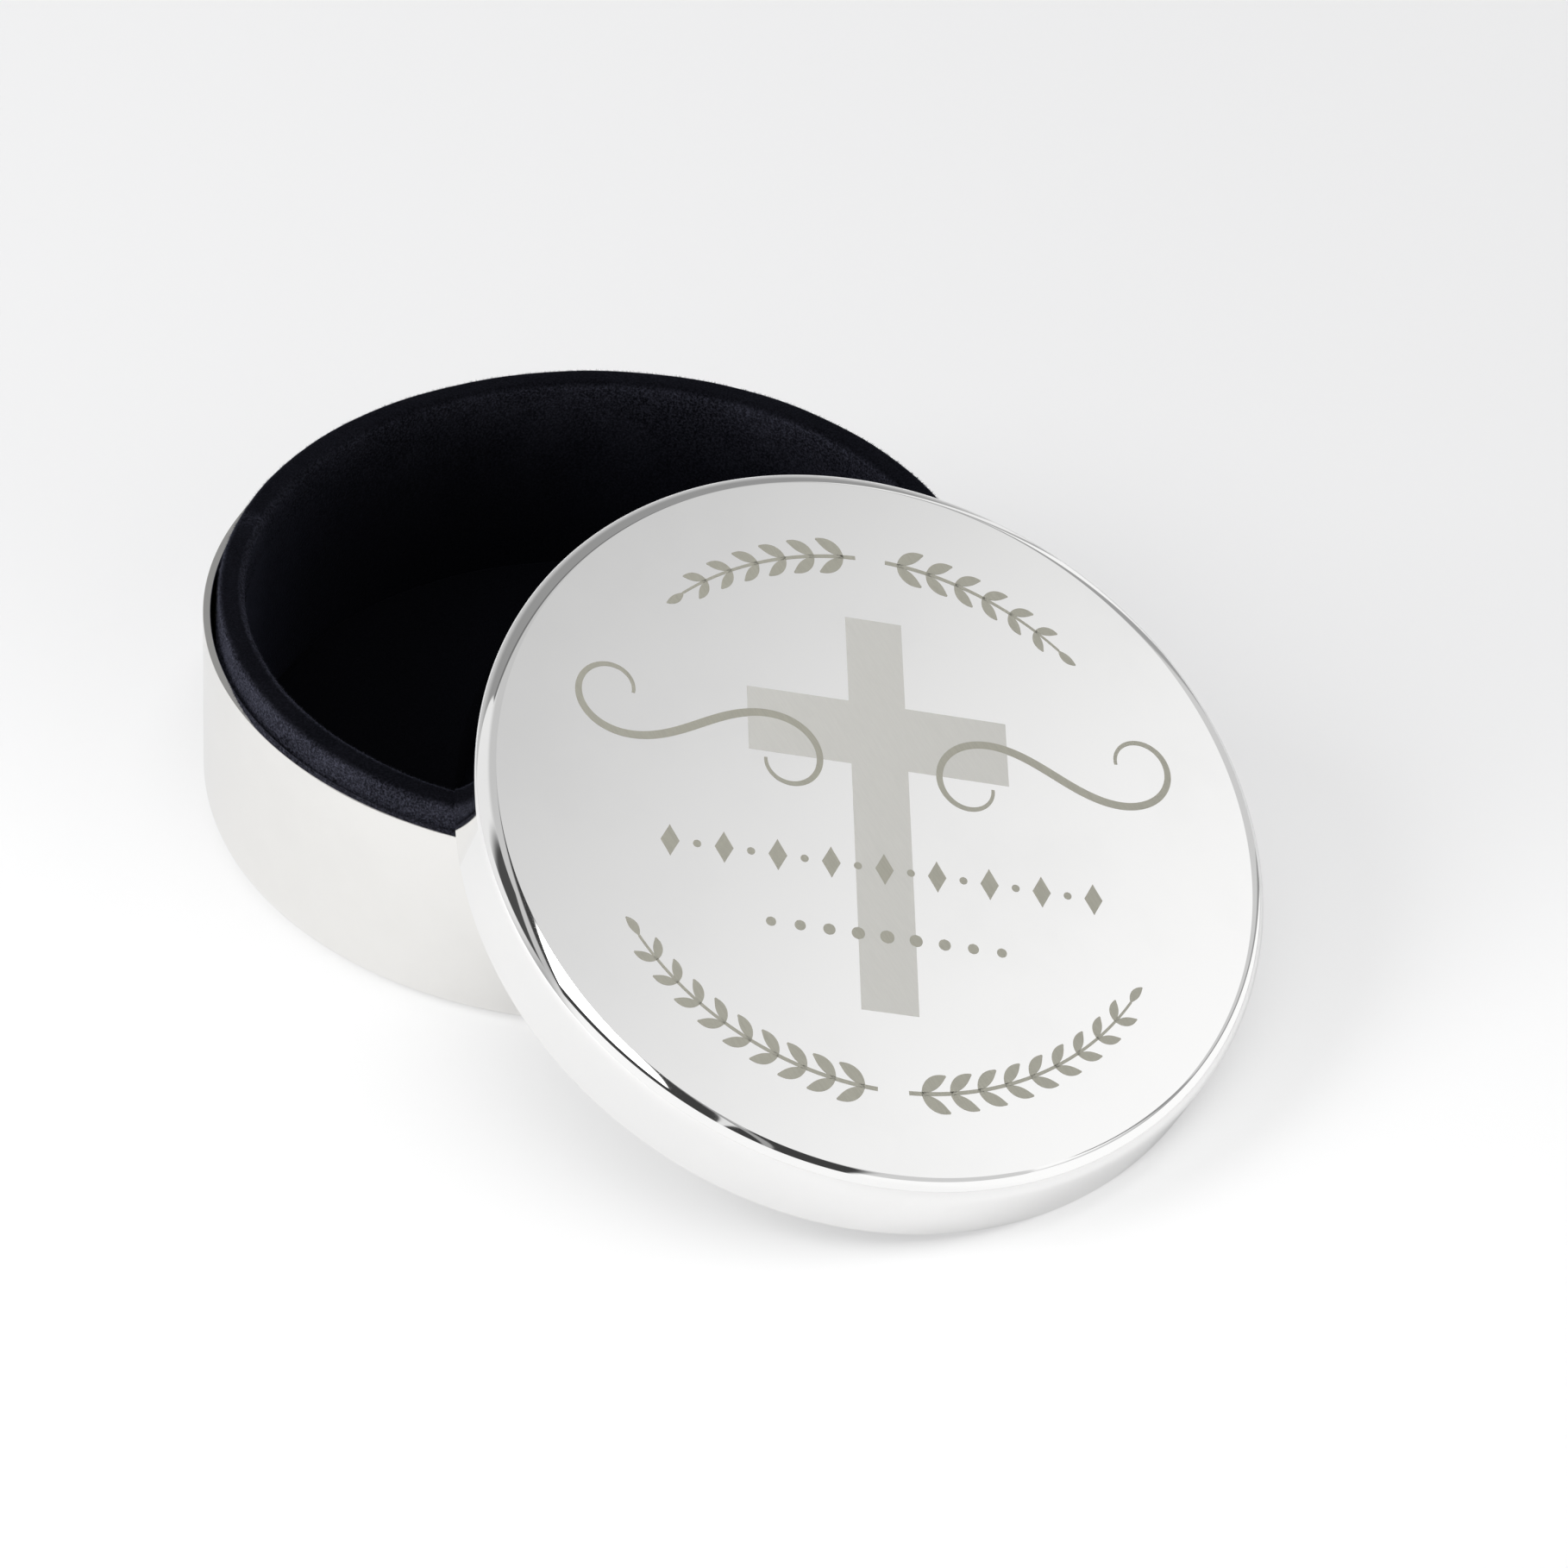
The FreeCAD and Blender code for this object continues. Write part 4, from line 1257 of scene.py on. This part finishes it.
STUDIO_PANELS = (
    # Brightness, and the sides that a panel keeps within
    # Grey back of the studio
    (0.63, (BACK_EDGE, 0.03, 0.06), (UP, 0.72, 0.06), (FRONT, -0.3, 0.1)),
    # Grey ceiling
    (0.66, ((-1.0, 0.0, 0.265), 0.0, 0.012), ((1.0, 0.0, -0.77), 0.0, 0.012),
     ((0.0, 1.0, -0.6), 0.0, 0.012), ((0.0, -1.0, -0.35), 0.0, 0.05)),
    # Dark edge of the right wall, at the ceiling and down to the table
    (0.30, (away(RIGHT_EDGE), 0.005, 0.012), (RIGHT_EDGE, 0.035, 0.012), ((0.0, -1.0, 0.65), 0.0, 0.01),
     ((1.0, 0.0, -0.56), 0.0, 0.03), ((-1.0, 0.0, 0.245), 0.0, 0.01)),
    (0.32, (BACK_EDGE, 0.055, 0.012), (away(BACK_EDGE), 0.005, 0.012), (UP, 0.65, 0.04), (LEFT, -0.03, 0.03),
     BEHIND),
    # Dark, white, dark and light folds of the back drape
    (0.36, (FOLD, 0.0, 0.03), (away(FOLD), 0.1, 0.03), (UP, 0.77, 0.03), BEHIND),
    (0.97, (FOLD, -0.11, 0.03), (away(DRAPE), -0.015, 0.02), (UP, 0.77, 0.03), BEHIND),
    (0.42, (DRAPE, 0.015, 0.012), (away(DRAPE), 0.015, 0.012), (UP, 0.79, 0.02), BEHIND),
    (0.88, (DRAPE, -0.015, 0.012), (away(DRAPE), 0.075, 0.012), (UP, 0.79, 0.02), BEHIND),
    # Grey wall at the back left, lighter towards the table, with a dark upper edge
    (0.31, *WALL_SIDES, (away(UP), 0.3, 0.1)),
    (0.56, *WALL_SIDES, (UP, 0.1, 0.5)),
    (0.17, *WALL_SIDES, (away(LEFT_WALL), 0.09, 0.02)),
    # Softbox overhead: its dark frame with two streaks, and its white face
    (0.05, ((-1.0, 0.0, 0.07), 0.0, 0.03), (FRAME_SIDE, 0.0, 0.03), ((0.532, 0.846, -0.567), 0.0, 0.03),
     ((0.0, 1.0, -0.45), 0.0, 0.02)),
    (0.80, ((0.819, 0.574, -0.462), 0.0, 0.008), ((-0.819, -0.574, 0.444), 0.0, 0.008), *STREAK_SIDES),
    (0.35, ((0.683, 0.73, -0.472), 0.0, 0.01), ((-0.683, -0.73, 0.448), 0.0, 0.01), *STREAK_SIDES),
    (3.6, ((-1.0, 0.0, 0.12), 0.0, 0.012), ((0.864, -0.503, -0.64), 0.0, 0.012),
     ((0.894, 0.447, -0.35), 0.0, 0.012), (BOX_BACK, 0.0, 0.012)),
)

# White sweep: elevations between which it changes, and its brightness there
SWEEP_SPAN = (20.0, 75.0)
SWEEP_LIGHT = (0.45, 0.58)
# Soft lights: brightness, azimuth, elevation, and how far out each starts to fade and is gone
SOFT_LIGHTS = (
    (0.84, -150.0, 30.0, 28.0, 50.0),
    (1.04, 40.0, 10.0, 48.0, 66.0),
    (1.0, -40.0, -5.0, 48.0, 66.0),
)
# Dark flag at the front: brightness, and the azimuths and elevations where it comes in and goes out
FLAG_LIGHT = 0.07
FLAG_AZIMUTHS = (-134.0, -120.0, -99.0, -96.0)
FLAG_ELEVATIONS = (25.0, 30.0, 74.0, 78.0)
# What the camera sees behind the table, its film's width in millimetres and its nearest sight in metres
BACKDROP = (0.93, 0.93, 0.93, 1.0)
FILM_WIDTH = 36.0
NEAREST_SIGHT = 0.01


def studio_light(tree):
    """Brightness of the studio by direction: a sweep, soft lights, panels and a flag, each over the last."""
    way = add_node(tree, "ShaderNodeTexCoord").outputs["Generated"]
    parts = add_node(tree, "ShaderNodeSeparateXYZ", None, {0: way}).outputs
    azimuth = sum_of(tree, "DEGREES", sum_of(tree, "ARCTAN2", parts["Y"], parts["X"]))
    elevation = sum_of(tree, "DEGREES", sum_of(tree, "ARCSINE", parts["Z"]))

    def zone(turn, lift, inner, outer):
        turn, lift, inner, outer = np.radians([turn, lift, inner, outer])
        aim = (np.cos(lift) * np.cos(turn), np.cos(lift) * np.sin(turn), np.sin(lift))
        return ease(tree, along(tree, way, aim), np.cos(outer), np.cos(inner))

    def within(aim, reach, soft):
        return ease(tree, along(tree, way, aim), reach + soft, reach)

    def between(value, start, full, fade, end):
        return ease(tree, value, start, full), ease(tree, value, end, fade)

    def over(under, value, *masks):
        mask = masks[0]
        for more in masks[1:]:
            mask = sum_of(tree, "MINIMUM", mask, more)
        return add_node(tree, "ShaderNodeMix", None, {0: mask, 2: under, 3: value}).outputs[0]

    light = ease(tree, elevation, *SWEEP_SPAN, *SWEEP_LIGHT)
    for brightness, *place in SOFT_LIGHTS:
        light = over(light, brightness, zone(*place))
    for brightness, *sides in STUDIO_PANELS:
        light = over(light, brightness, *(within(*side) for side in sides))
    flag = between(azimuth, *FLAG_AZIMUTHS) + between(elevation, *FLAG_ELEVATIONS)
    return over(light, FLAG_LIGHT, *flag)


def aimed(place, aim):
    """Placement of a lamp or a camera at a place, looking at a point."""
    sight = (Vector(aim) - Vector(place)).to_track_quat("-Z", "Y")
    return Matrix.Translation(place) @ sight.to_matrix().to_4x4()


class TRINKET_OT_stage(bpy.types.Operator):
    """Set the table, the studio light and the camera"""

    bl_idname = "trinket.stage"
    bl_label = "Stage"

    def execute(self, context):
        scene = context.scene
        stage = scene.trinket_stage
        half = stage.table_half
        corners = np.array([[-half, -half], [half, -half], [half, half], [-half, half]])
        points = np.column_stack([corners, np.full(len(corners), CAD_BOX[0].z - TABLE_GAP)])
        finish = table_top(scene.trinket_finish.table, scene.trinket_finish.table_back_shade)
        put_mesh("table", points, [[0, 1, 2, 3]], finish)

        world = bpy.data.worlds.new("studio")
        world.use_nodes = True
        tree = world.node_tree
        studio = tree.nodes["Background"]
        tree.links.new(studio_light(tree), studio.inputs["Color"])
        plain = add_node(tree, "ShaderNodeBackground", None, {"Color": BACKDROP})
        seen = add_node(tree, "ShaderNodeLightPath").outputs["Is Camera Ray"]
        both = {0: seen, 1: studio.outputs[0], 2: plain.outputs[0]}
        mixed = add_node(tree, "ShaderNodeMixShader", None, both).outputs[0]
        tree.links.new(mixed, tree.nodes["World Output"].inputs["Surface"])
        scene.world = world

        lamp = bpy.data.lights.new("key_lamp", "AREA")
        lamp.shape = "DISK"
        lamp.size = stage.key_size
        lamp.energy = stage.key_power
        key = bpy.data.objects.new("key_lamp", lamp)
        key.matrix_world = aimed(stage.key_place, stage.camera_aim)
        key.visible_glossy = False
        scene.collection.objects.link(key)

        lens = bpy.data.cameras.new("camera")
        lens.lens = stage.lens
        lens.sensor_width = FILM_WIDTH
        lens.clip_start = NEAREST_SIGHT
        camera = bpy.data.objects.new("camera", lens)
        roll = Matrix.Rotation(stage.camera_roll, 4, "Z")
        camera.matrix_world = aimed(stage.camera_place, stage.camera_aim) @ roll
        scene.collection.objects.link(camera)
        scene.camera = camera
        scene.view_settings.view_transform = "Standard"
        return {"FINISHED"}


class TRINKET_PT_build(bpy.types.Panel):
    """Buttons that build the trinket box, and its sizes"""

    bl_label = "Trinket box"
    bl_idname = "TRINKET_PT_build"
    bl_space_type = "VIEW_3D"
    bl_region_type = "UI"
    bl_category = "Trinket box"

    def draw(self, context):
        for operator in OPERATORS:
            self.layout.operator(operator.bl_idname)
        for name in GROUPS:
            group = getattr(context.scene, name)
            box = self.layout.box()
            for label in group.__annotations__:
                box.prop(group, label)


GROUPS = {
    "trinket_bowl": BowlSizes,
    "trinket_lining": LiningSizes,
    "trinket_wadding": WaddingSizes,
    "trinket_lid": LidSizes,
    "trinket_etching": EtchingSizes,
    "trinket_finish": FinishColours,
    "trinket_stage": StageSizes,
}

OPERATORS = (
    TRINKET_OT_bowl_metal,
    TRINKET_OT_lid_metal,
    TRINKET_OT_wall_velvet,
    TRINKET_OT_collar_nap,
    TRINKET_OT_floor_velvet,
    TRINKET_OT_wadding,
    TRINKET_OT_lid_velvet,
    TRINKET_OT_boards,
    TRINKET_OT_etched_cross,
    TRINKET_OT_etched_ornament,
    TRINKET_OT_stage,
)


def register():
    """Register the sizes, the operators and the panel."""
    for name, group in GROUPS.items():
        bpy.utils.register_class(group)
        setattr(bpy.types.Scene, name, PointerProperty(type=group))
    for operator in OPERATORS:
        bpy.utils.register_class(operator)
    bpy.utils.register_class(TRINKET_PT_build)


def unregister():
    """Remove what register added."""
    bpy.utils.unregister_class(TRINKET_PT_build)
    for operator in reversed(OPERATORS):
        bpy.utils.unregister_class(operator)
    for name, group in reversed(GROUPS.items()):
        delattr(bpy.types.Scene, name)
        bpy.utils.unregister_class(group)


def main():
    """Build every piece and the stage."""
    register()
    for operator in OPERATORS:
        family, action = operator.bl_idname.split(".")
        getattr(getattr(bpy.ops, family), action)()


if __name__ == "__main__":
    main()
